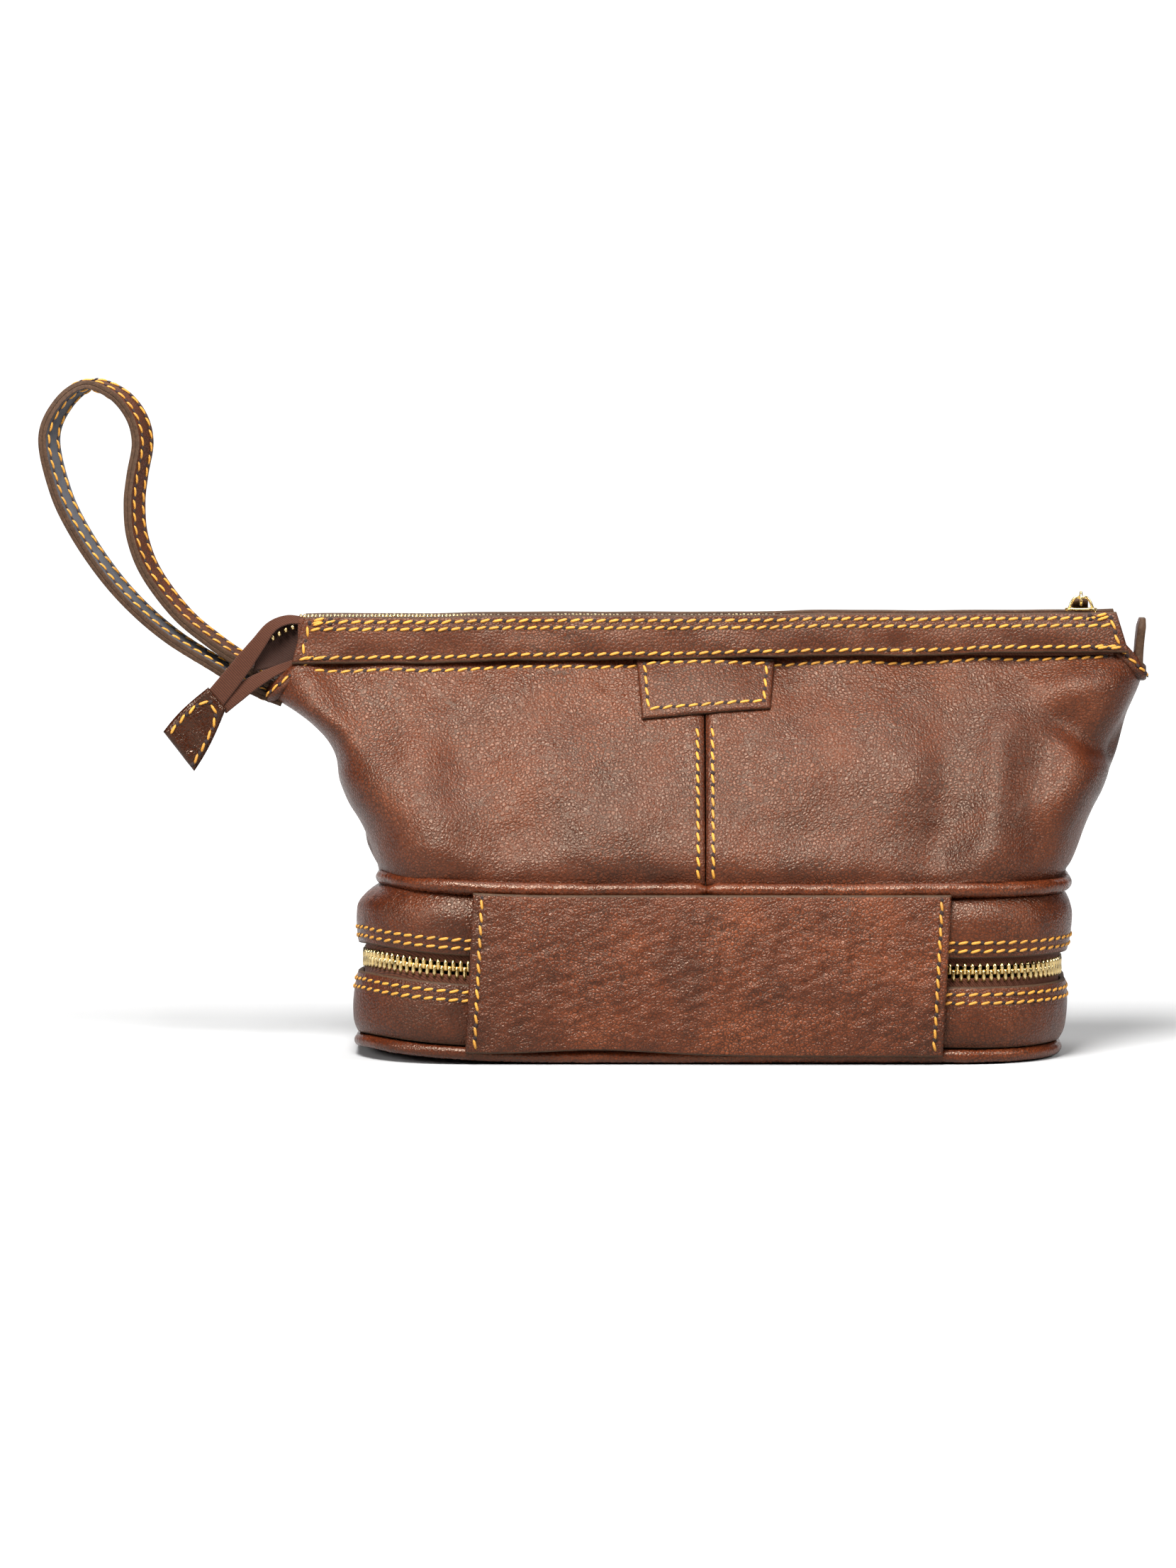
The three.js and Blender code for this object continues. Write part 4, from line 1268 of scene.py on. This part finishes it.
def make_hinge_panel():
    """The leather panel over the base's front, which bends as the tray swings open."""
    low, high = 2.4, TOP_BAND_HIGH[2] + 1.2
    thickness = 2.2
    section, edge = rounded_section(high - low, thickness, 0.6, 90)
    x = np.linspace(PANEL_LOW[0] - 0.6, PANEL_HIGH[0] + 0.6, 190)[:, None]
    z = (low + high) / 2 + section[None, :, 0]
    hump = 2.2 * np.exp(-((x + 38) / 30) ** 2) * np.clip(1 - (z - low) / 20, 0, 1)
    points, out = panel_point(x, z + 0 * x)
    points = points + out * (section[None, :, 1:] - thickness / 2)
    points[..., 2] += hump
    rim = np.clip(np.minimum(x - x.min(), x.max() - x) / 1.0, 0, 1) ** 0.5
    points[..., 1] += (1 - rim) * 0.5
    panel = sweep("hinge_panel", leaned(points), ("panel leather", "raw edge"), edge)
    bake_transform(panel)
    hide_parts("hinge_panel_lower", "hinge_panel_upper")
    rows = []
    for edge_x, sign in ((PANEL_LOW[0], 1), (PANEL_HIGH[0], -1)):
        z = np.linspace(low + 1.5, high - 1.5, 60)
        path, normals = panel_point(np.full(60, edge_x + sign * 2.4), z)
        rows.append((leaned(path), normals))
    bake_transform(stitches("hinge_panel_stitching", rows))


def piping_ring(name, node, body, level, radius, inset, seed, wobble, join, tuck=0.0):
    """Leather rolled over a cord: a tube round the base whose section flattens towards its sewn flange,
    with a wave along it and fine gathers round the corners."""
    xy, out = base_line(inset, join, join + 1, 460)
    s = np.linspace(0, BASE_ROUND, len(xy))
    rise = wobble * waves(s, 150, seed)
    around = np.linspace(0, 2 * np.pi, 18, endpoint=False)
    gathers = 1 + 0.035 * np.sin(s[:, None] * 2.1 + 2 * np.sin(around)[None, :])
    gathers = gathers + 0.03 * cloudy(s[:, None], 6 * around[None, :], 9, seed)
    ring = radius * gathers
    flange = 1.0 + 0.25 * np.clip(-np.cos(around), 0, 1)
    offset, height = ring * np.cos(around) * flange, ring * np.sin(around)
    points = np.concatenate([xy[:, None] + out[:, None] * offset[..., None],
                             (level + rise[:, None] + height)[..., None]], -1)
    fade = np.clip(np.minimum(s, s[-1] - s) / 3.0, 0.35, 1) ** 0.5
    centre = np.column_stack([xy, level + rise])[:, None]
    points = centre + (points - centre) * fade[:, None, None]
    points[..., 0] += tuck * np.clip((-points[..., 0] - 70) / 46, 0, 1)
    piece = sweep(name, leaned(points), ("piping leather",))
    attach(piece, body)
    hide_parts(node)


def make_pipings():
    """The piping between body and base, and the one round the tray's sole. Each closes where it is least
    seen."""
    piping_ring("upper_piping", "top_piping", "bag", level=PIPING_LEVEL, radius=PIPING_RADIUS + 0.25,
                inset=2.0, seed=51, wobble=0.25, join=0.006, tuck=5.0)
    piping_ring("tray_piping", "bottom_piping", "base_tray", level=PIPING_RADIUS + 0.15,
                radius=PIPING_RADIUS, inset=2.2, seed=52, wobble=0.05, join=0.5)


def make_base_sliders():
    """The base zip's two sliders, one beside each edge of the hinge panel, with their rings and tabs."""
    for hand in (-1, 1):
        low, high = cad(f"base_slider_{hand_name(hand)}")
        teeth_middle = BASE_DEPTH - 2.7
        origin = np.array([(low[0] + high[0]) / 2, teeth_middle, CHAIN_LEVEL])
        axes = np.array([[-hand, 0, 0], [0, 0, -1.0], [0, 1.0, 0]])
        parts = [(placed(p, origin, axes), w, f) for p, w, f in slider_parts(0.2)]
        name = f"base_slider_{hand_name(hand)}"
        piece = assemble("tray_" + name[5:], parts, ("brass",))
        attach(piece, name)
        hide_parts(name)
        body = f"base_pull_{hand_name(hand)}"
        make_pull("tray_pull_" + hand_name(hand), body, f"base_pull_ring_{hand_name(hand)}",
                  f"base_pull_tab_{hand_name(hand)}")


def make_sole():
    """The leather sole, its stiffener and the divider board, curled with the base."""
    for name, node, body, look, inset in (("sole", "bottom_panel", "base_tray", "base leather", 4.6),
                                          ("stiffener", "bottom_stiffener_board", "base_tray", "board", 5.2),
                                          ("divider", "divider_board", "bag", "board", 10.5)):
        low, high = cad(node)
        outline, _ = base_line(inset, 0, 1, 161)
        rings = outline_plate(outline[:-1], low[2], high[2])
        plate = sweep(name, leaned(rings), (look,))
        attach(plate, body)
        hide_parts(node)


def cloth_pan(name, node, body, inset, floor, rim, drawn=0.0):
    """A cloth lining that lies over a board and turns up or down the walls: rings grow from the middle of
    the floor, climb to the rim, turn over it and come back inside, with small slack waves. Its walls are
    drawn in towards the floor."""
    thickness = 0.8
    turn = np.sign(rim - floor) if rim != floor else 1.0
    shares = np.concatenate([[0.02], np.linspace(0.1, 1, 26)])
    rings = []
    for inside in (False, True):
        outline, out = base_line(inset + thickness * inside, 0, 1, 241)
        outline, out = outline[:-1], out[:-1]
        level = floor + turn * thickness * inside
        foot = outline - out * drawn
        pan = []
        for share in shares:
            hills = 1 + cloudy(outline[:, 0] * share, outline[:, 1] * share, 26, 71)
            pan.append(np.column_stack([foot * share, level + turn * 0.35 * hills * (1 - share ** 8)]))
        for z in np.linspace(level, rim, 14)[1:] if rim != floor else []:
            hills = 1 + cloudy(arc_lengths(outline), np.full(240, z), 16, 72)
            slack = 0.3 * hills * np.sin(np.pi * (z - level) / (rim - level)) ** 2
            slack = slack + drawn * np.clip(1 - abs(z - level) / 11, 0, 1) ** 2
            pan.append(np.column_stack([outline - out * slack[:, None], np.full(240, z)]))
        rings += pan[::-1] if inside else pan
    piece = sweep(name, leaned(np.array(rings)), ("lining",))
    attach(piece, body)
    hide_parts(node)
    cloth(piece)


def make_base_linings():
    """The cloth of the tray, of the base's ceiling and of the main compartment's floor."""
    low, high = cad("base_lower_lining")
    cloth_pan("tray_cloth", "base_lower_lining", "base_tray", inset=BASE_WIDTH - high[0],
              floor=low[2], rim=high[2])
    low, high = cad("base_upper_lining")
    cloth_pan("ceiling_cloth", "base_upper_lining", "bag", inset=BASE_WIDTH - high[0],
              floor=high[2], rim=low[2], drawn=9.0)
    low, high = cad("main_floor_lining")
    cloth_pan("floor_cloth", "main_floor_lining", "bag", inset=BASE_WIDTH - high[0] + 4,
              floor=low[2], rim=low[2])


# ---------------------------------------------------------------- strap, tail and tab

# The strap's route in x and z: up its lower leg, round the loop and down its upper leg.
STRAP_ROUTE = [
    (-143.5, 117.7), (-150.5, 120.5), (-158.5, 124.9), (-166, 129.5), (-180.3, 138.5), (-192.3, 148.7),
    (-202.7, 160.5), (-212.2, 174.9), (-218.3, 188.3), (-221.8, 205.5), (-216.9, 217.1), (-208.4, 223.2),
    (-199.2, 220.4), (-192.8, 213.1), (-190.5, 204.1), (-192.3, 193), (-193.3, 183.4), (-192.3, 172),
    (-187.6, 160), (-177.5, 146.5), (-166.4, 137.1), (-156.5, 130.3), (-148.5, 124.9), (-142.0, 121.1),
]


STRAP_LEAN = np.radians(27)
# Points in x and z where the strap and the tail's tape would start and end their bends; bend_from_bag, which
# takes them, bends nothing.
STRAP_BEND = ((-144.5, 118.6), (-156.5, 125.2))
TAIL_BEND = ((-137.5, 141.7), (-150.5, 141.7))


def strap_frames():
    """The strap's middle line with its outward and widthwise directions, tilted so that the loop's
    far side shows its inner face."""
    line = smooth_path([(x, 0.0, z) for x, z in STRAP_ROUTE], 330)
    along = tangents(line)
    out = np.cross(along, [0, 1.0, 0])
    tilt = -STRAP_LEAN * out[:, 0]
    wide = np.cos(tilt)[:, None] * np.array([0, 1.0, 0]) - np.sin(tilt)[:, None] * out
    return line, np.cross(along, wide), wide


def bend_from_bag(piece, body, start, end):
    """Blends a piece from the bag to a body that hangs from it, between two points in x and z."""
    start, end = [(x * MM, 0, z * MM) for x, z in (start, end)]
    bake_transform(piece)


def make_strap():
    """The wrist strap's two layers, leather outside and suede inside, sewn along both edges."""
    size = sizes()
    width, layer = size.strap_width / MM, size.strap_layer / MM
    line, out, wide = strap_frames()
    section, edge = rounded_section(width, layer, 0.25, 8)
    for name, node, finish, side in (("strap_outer", "strap_outer_layer", "strap leather", 1),
                                     ("strap_inner", "strap_inner_layer", "suede", -1)):
        middle = line + out * side * layer * 0.50
        across = wide[:, None] * section[None, :, :1]
        points = middle[:, None] + across + out[:, None] * section[None, :, 1:] * side
        piece = sweep(name, points, (finish, "raw edge"), edge)
        bend_from_bag(piece, "wrist_strap", *STRAP_BEND)
        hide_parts(node)
        rows = [(line[6:-6] + wide[6:-6] * offset + out[6:-6] * side * layer * 1.03, out[6:-6] * side)
                for offset in (-3.0, 3.0)]
        bend_from_bag(stitches(name + "_stitching", rows), "wrist_strap", *STRAP_BEND)


def tape_ribbon(name, knots, widths, faces):
    """A ribbon of the tail's tape along a route: at each knot it has a width and a facing direction,
    smoothed between."""
    thickness = 0.9
    line = smooth_path(knots, 90)
    share = np.linspace(0, 1, len(line))
    spread = np.linspace(0, 1, len(widths))
    width = np.interp(share, spread, widths)
    face = unit(np.stack([np.interp(share, spread, np.array(faces, float)[:, k]) for k in range(3)], -1))
    along = tangents(line)
    across = unit(np.cross(face, along))
    face = np.cross(along, across)
    section, _ = rounded_section(1.0, 0.12, 0.05, 8, 3)
    loop = section / [[1.0, 0.12]]
    points = (line[:, None] + across[:, None] * loop[None, :, :1] * width[:, None, None]
              + face[:, None] * loop[None, :, 1:] * thickness)
    return sweep(name, points, ("tail tape",))


def between_corners(corners, u, v):
    """Points of a four-sided face by share u down its length and v across it."""
    top = corners[0] + (corners[1] - corners[0]) * v[..., None]
    bottom = corners[2] + (corners[3] - corners[2]) * v[..., None]
    return top + (bottom - top) * u[..., None]


def make_tail():
    """The zip's loose end: its tape folds over on itself, dark inside with the last teeth, and runs down
    into a sewn leather tab."""
    front = tape_ribbon("tail_tape_front", [
        (-136.5, -7.6, 144.6), (-142.0, -8.8, 144.9), (-147.2, -9.9, 142.6), (-151.8, -10.8, 136.8),
        (-158.0, -11.3, 128.6), (-166.8, -11.2, 117.6)], [3.0, 3.6, 4.8, 6.2, 6.8, 7.2],
        [(0, -0.8, 0.6), (0, -1, 0.35), (0.1, -1, 0.1), (0.1, -1, 0), (0, -1, -0.05), (0, -1, 0)])
    bend_from_bag(front, "zip_tail", *TAIL_BEND)
    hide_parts("tail_tape")
    back = tape_ribbon("tail_tape_back", [
        (-139.5, -8.0, 130.4), (-147.0, -9.0, 127.3), (-153.6, -10.0, 123.7), (-159.5, -10.4, 119.6),
        (-164.2, -10.5, 116.0)], [2.6, 3.4, 4.6, 5.6, 6.0],
        [(0, -1, 0.5), (0, -1, 0.4), (0, -1, 0.2), (0, -1, 0.1), (0, -1, 0)])
    bend_from_bag(back, "zip_tail", *TAIL_BEND)
    u, v = np.meshgrid(np.linspace(0, 1, 20), np.linspace(0, 1, 20), indexing="ij")
    corners = np.array([(-149.0, -8.6, 142.6), (-136.8, -6.2, 144.2),
                        (-153.6, -9.2, 127.6), (-139.4, -7.0, 130.2)])
    hollow = between_corners(corners, u, v)
    hollow[..., 1] += 2.0 * np.sin(np.pi * u) * np.sin(np.pi * v)
    # The inside of the tape's fold: a sheet whose outer face is coloured with painted shade.
    inside = shell("tail_tape_inside", hollow, hollow + [0, 0.8, 0], ("tape in painted shade", "tape", "tape"))
    bend_from_bag(inside, "zip_tail", *TAIL_BEND)
    path = smooth_path([(-138.8, -8.0, 142.4), (-143.5, -7.9, 140.4), (-149.4, -9.0, 136.4)], 40)
    row = teeth("tail_teeth_row", path, np.broadcast_to([0, -1.0, 0.2], path.shape),
                np.broadcast_to([0.4, 0, -0.9], path.shape), reach=1.0, hook=0.5)
    bend_from_bag(row, "zip_tail", *TAIL_BEND)
    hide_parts("tail_teeth")
    corners = np.array([(-168.3, -11.4, 122.5), (-162.3, -11.4, 115.4),
                        (-183.4, -10.8, 107.6), (-173.1, -10.8, 94.3)])
    u, v = np.meshgrid(np.linspace(0, 1, 50), np.linspace(0, 1, 34), indexing="ij")

    def tab_face(u, v, height):
        """One face of the end tab by shares down and across it, at a height over its middle."""
        rim = np.minimum(np.minimum(v, 1 - v) * 13, np.minimum(u, 1 - u) * 22)
        crown = height * (0.4 + 0.6 * np.clip(rim / 1.6, 0, 1) ** 0.5)
        points = between_corners(corners, u, v + 0.06 * np.sin(np.pi * u) * (2 * v - 1))
        points[..., 1] -= crown + 0.30 * cloudy(points[..., 0], points[..., 2], 8, 61)
        return points

    looks = ("tab leather", "tab leather", "raw edge")
    tab = shell("tail_tab", tab_face(u, v, 1.9), tab_face(u, v, -1.5), looks)
    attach(tab, "zip_tail")
    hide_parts("tail_end_tab")
    arch = smooth_path([(0.95, 0.13, 0), (0.5, 0.15, 0), (0.24, 0.22, 0), (0.13, 0.5, 0), (0.24, 0.80, 0),
                        (0.5, 0.87, 0), (0.95, 0.89, 0)], 80)
    line = tab_face(arch[:, 0], arch[:, 1], 2.0)
    rows = [(line, np.broadcast_to([0, -1.0, 0], line.shape))]
    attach(stitches("tail_tab_stitching", rows), "zip_tail")


def make_holding_tab():
    """A short leather tab that stands out of the right ear, slightly curved, seen edge-on from the front."""
    low, high = cad("holding_tab")
    u = np.linspace(0, 1, 40)[:, None]
    v = np.linspace(-1, 1, 20)[None, :]
    height = low[2] - 2.5 + (high[2] - low[2] + 2.5) * u
    half = 5.6 * (1 - 0.35 * np.clip((u - 0.8) / 0.2, 0, 1) ** 2)

    def face(offset):
        """One face of the tab, at an offset from its middle; both draw in at the top."""
        thinned = offset * (1 - 0.3 * np.clip((u - 0.85) / 0.15, 0, 1))
        x = (low[0] + high[0]) / 2 + thinned + 1.4 * u ** 2 - 0.6
        return np.stack(np.broadcast_arrays(x + 0 * v, half * v, height + 0 * v), -1)

    tab = shell("ear_tab", face(1.35), face(-1.35), ("collar leather", "collar leather", "raw edge"))
    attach(tab, "bag")
    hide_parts("holding_tab")


# ---------------------------------------------------------------- stage

def make_stage():
    """A pale floor and sweep, soft studio lights and the camera."""
    scene = bpy.context.scene
    bend = np.linspace(0, np.pi / 2, 14)
    y = np.concatenate([np.linspace(-4, 5, 8), 5 + 2 * np.sin(bend), np.full(2, 7)])
    z = np.concatenate([np.zeros(8), 2 * (1 - np.cos(bend)), [3.0, 4.0]])
    x = np.linspace(-4, 4, 5)
    points = np.stack(np.broadcast_arrays(x[:, None], y[None, :], z[None, :] - 0.0004), -1)
    mesh = bpy.data.meshes.new("studio floor")
    mesh.from_pydata(points.reshape(-1, 3).tolist(), [], grid_faces(5, len(y)).tolist())
    mesh.polygons.foreach_set("use_smooth", np.ones(len(mesh.polygons), bool))
    n = Nodes("studio paper")
    paper = n.blend(n.noise(3.0), (0.38, 0.38, 0.38), (0.40, 0.40, 0.40))
    depth = n.add("ShaderNodeSeparateXYZ")
    n.link(n.place, depth.inputs[0])
    n.set(base=paper, rough=0.9)
    n.shader.inputs["Emission Color"].default_value = (1, 1, 1, 1)
    n.link(n.span(depth.outputs["Y"], 0.10, 0.75, 0.0, 1.0), n.shader.inputs["Emission Strength"])
    mesh.materials.append(n.material)
    floor = bpy.data.objects.new("studio_floor", mesh)
    scene.collection.objects.link(floor)
    world = bpy.data.worlds.new("studio world")
    world.use_nodes = True
    background = world.node_tree.nodes["Background"]
    background.inputs["Color"].default_value = (1, 1, 1, 1)
    background.inputs["Strength"].default_value = 0.04
    scene.world = world
    target = Vector((-0.02, 0, 0.09))
    for name, place, size, power in (("key softbox", (-0.22, -0.78, 1.12), 0.50, 50.0),
                                     ("right softbox", (1.05, -0.75, 0.80), 0.28, 15.0),
                                     ("left softbox", (-1.15, -0.85, 0.55), 0.30, 12.0),
                                     ("back softbox", (0.1, 0.55, 1.4), 0.8, 16.0)):
        light = bpy.data.lights.new(name, "AREA")
        light.shape = "RECTANGLE"
        light.size, light.size_y = size, size * 1.3
        light.energy = power
        lamp = bpy.data.objects.new(name, light)
        scene.collection.objects.link(lamp)
        lamp.location = place
        lamp.rotation_euler = (target - Vector(place)).to_track_quat("-Z", "Y").to_euler()
    camera = bpy.data.cameras.new("camera")
    camera.sensor_fit = "VERTICAL"
    camera.sensor_height = sensor = 36
    distance, elevation = 3.0, np.radians(4.5)
    frame_width, height_to_width = 0.3915, 2212 / 1659
    camera.lens = sensor * distance / (frame_width * height_to_width)
    camera.clip_start = 0.1
    eye = bpy.data.objects.new("camera", camera)
    scene.collection.objects.link(eye)
    aim = Vector((-0.0412, -0.030, 0.0915))
    back = Vector((0, -np.cos(elevation), np.sin(elevation)))
    eye.location = aim + back * distance
    eye.rotation_euler = (-back).to_track_quat("-Z", "Y").to_euler()
    scene.camera = eye
    scene.view_settings.view_transform = "Standard"


# ---------------------------------------------------------------- add-on

STEPS = [
    ("stage", "Stage", "Make the floor, the lights and the camera", make_stage),
    ("body", "Body halves", "Make the main compartment's leather halves", make_body),
    ("linings", "Linings", "Make the main compartment's cloth linings", make_linings),
    ("seams", "Seams", "Sew the middle seams and the hems", make_seams),
    ("bindings", "Ear bindings", "Bind the top edges of the two ends", make_bindings),
    ("collars", "Collars", "Make the collars round the mouth", make_collars),
    ("patch", "Seam patch", "Make the patch over the front seam", make_patch),
    ("mouth_zip", "Mouth zip", "Make the mouth's tapes, teeth and stops", make_mouth_zip),
    ("mouth_slider", "Mouth slider", "Make the mouth's slider and its pull", make_mouth_slider),
    ("bands", "Base bands", "Make the leather bands of the base", make_bands),
    ("base_zip", "Base zip", "Make the base's tapes and teeth", make_base_zip),
    ("hinge_panel", "Hinge panel", "Make the leather panel that hinges the tray", make_hinge_panel),
    ("pipings", "Pipings", "Make the two pipings", make_pipings),
    ("base_sliders", "Base sliders", "Make the base's two sliders and pulls", make_base_sliders),
    ("sole", "Sole and boards", "Make the leather sole, its stiffener and the divider", make_sole),
    ("base_linings", "Base linings", "Make the cloth of the tray, ceiling and floor", make_base_linings),
    ("strap", "Wrist strap", "Make the two-layer wrist strap", make_strap),
    ("tail", "Zip tail", "Make the zip's tail and its end tab", make_tail),
    ("holding_tab", "Holding tab", "Make the small tab in the right ear", make_holding_tab),
]


def operator_for(key, label, text, build):
    """An operator class that runs one building function and lets its errors through."""
    def execute(self, context):
        """Builds the step's pieces."""
        build()
        return {"FINISHED"}

    return type(f"WASHBAG_OT_{key}", (bpy.types.Operator,), {
        "bl_idname": f"washbag.{key}", "bl_label": label, "__doc__": text, "execute": execute})


OPERATORS = [operator_for(*step) for step in STEPS]


class WASHBAG_PT_panel(bpy.types.Panel):
    """Lists the bag's pieces, sizes and colours in the sidebar."""
    bl_label = "Wash bag"
    bl_idname = "WASHBAG_PT_panel"
    bl_space_type = "VIEW_3D"
    bl_region_type = "UI"
    bl_category = "Wash bag"

    def draw(self, context):
        """Lays out the sizes, the colours and a button for each step."""
        for group in (context.scene.washbag_sizes, context.scene.washbag_colours):
            for key in group.bl_rna.properties.keys():
                if key not in ("rna_type", "name"):
                    self.layout.prop(group, key)
        for operator in OPERATORS:
            self.layout.operator(operator.bl_idname)


CLASSES = [WashbagSizes, WashbagColours, *OPERATORS, WASHBAG_PT_panel]


def register():
    """Adds the operators, the properties and the panel to Blender."""
    for cls in CLASSES:
        bpy.utils.register_class(cls)
    bpy.types.Scene.washbag_sizes = PointerProperty(type=WashbagSizes)
    bpy.types.Scene.washbag_colours = PointerProperty(type=WashbagColours)


def unregister():
    """Takes away what register added."""
    del bpy.types.Scene.washbag_sizes
    del bpy.types.Scene.washbag_colours
    for cls in reversed(CLASSES):
        bpy.utils.unregister_class(cls)


def main():
    """Runs every step in order and writes the two sizes, of the CAD and of what is seen."""
    register()
    for operator in OPERATORS:
        getattr(bpy.ops.washbag, operator.bl_idname.split(".")[1])()


if __name__ == "__main__":
    main()
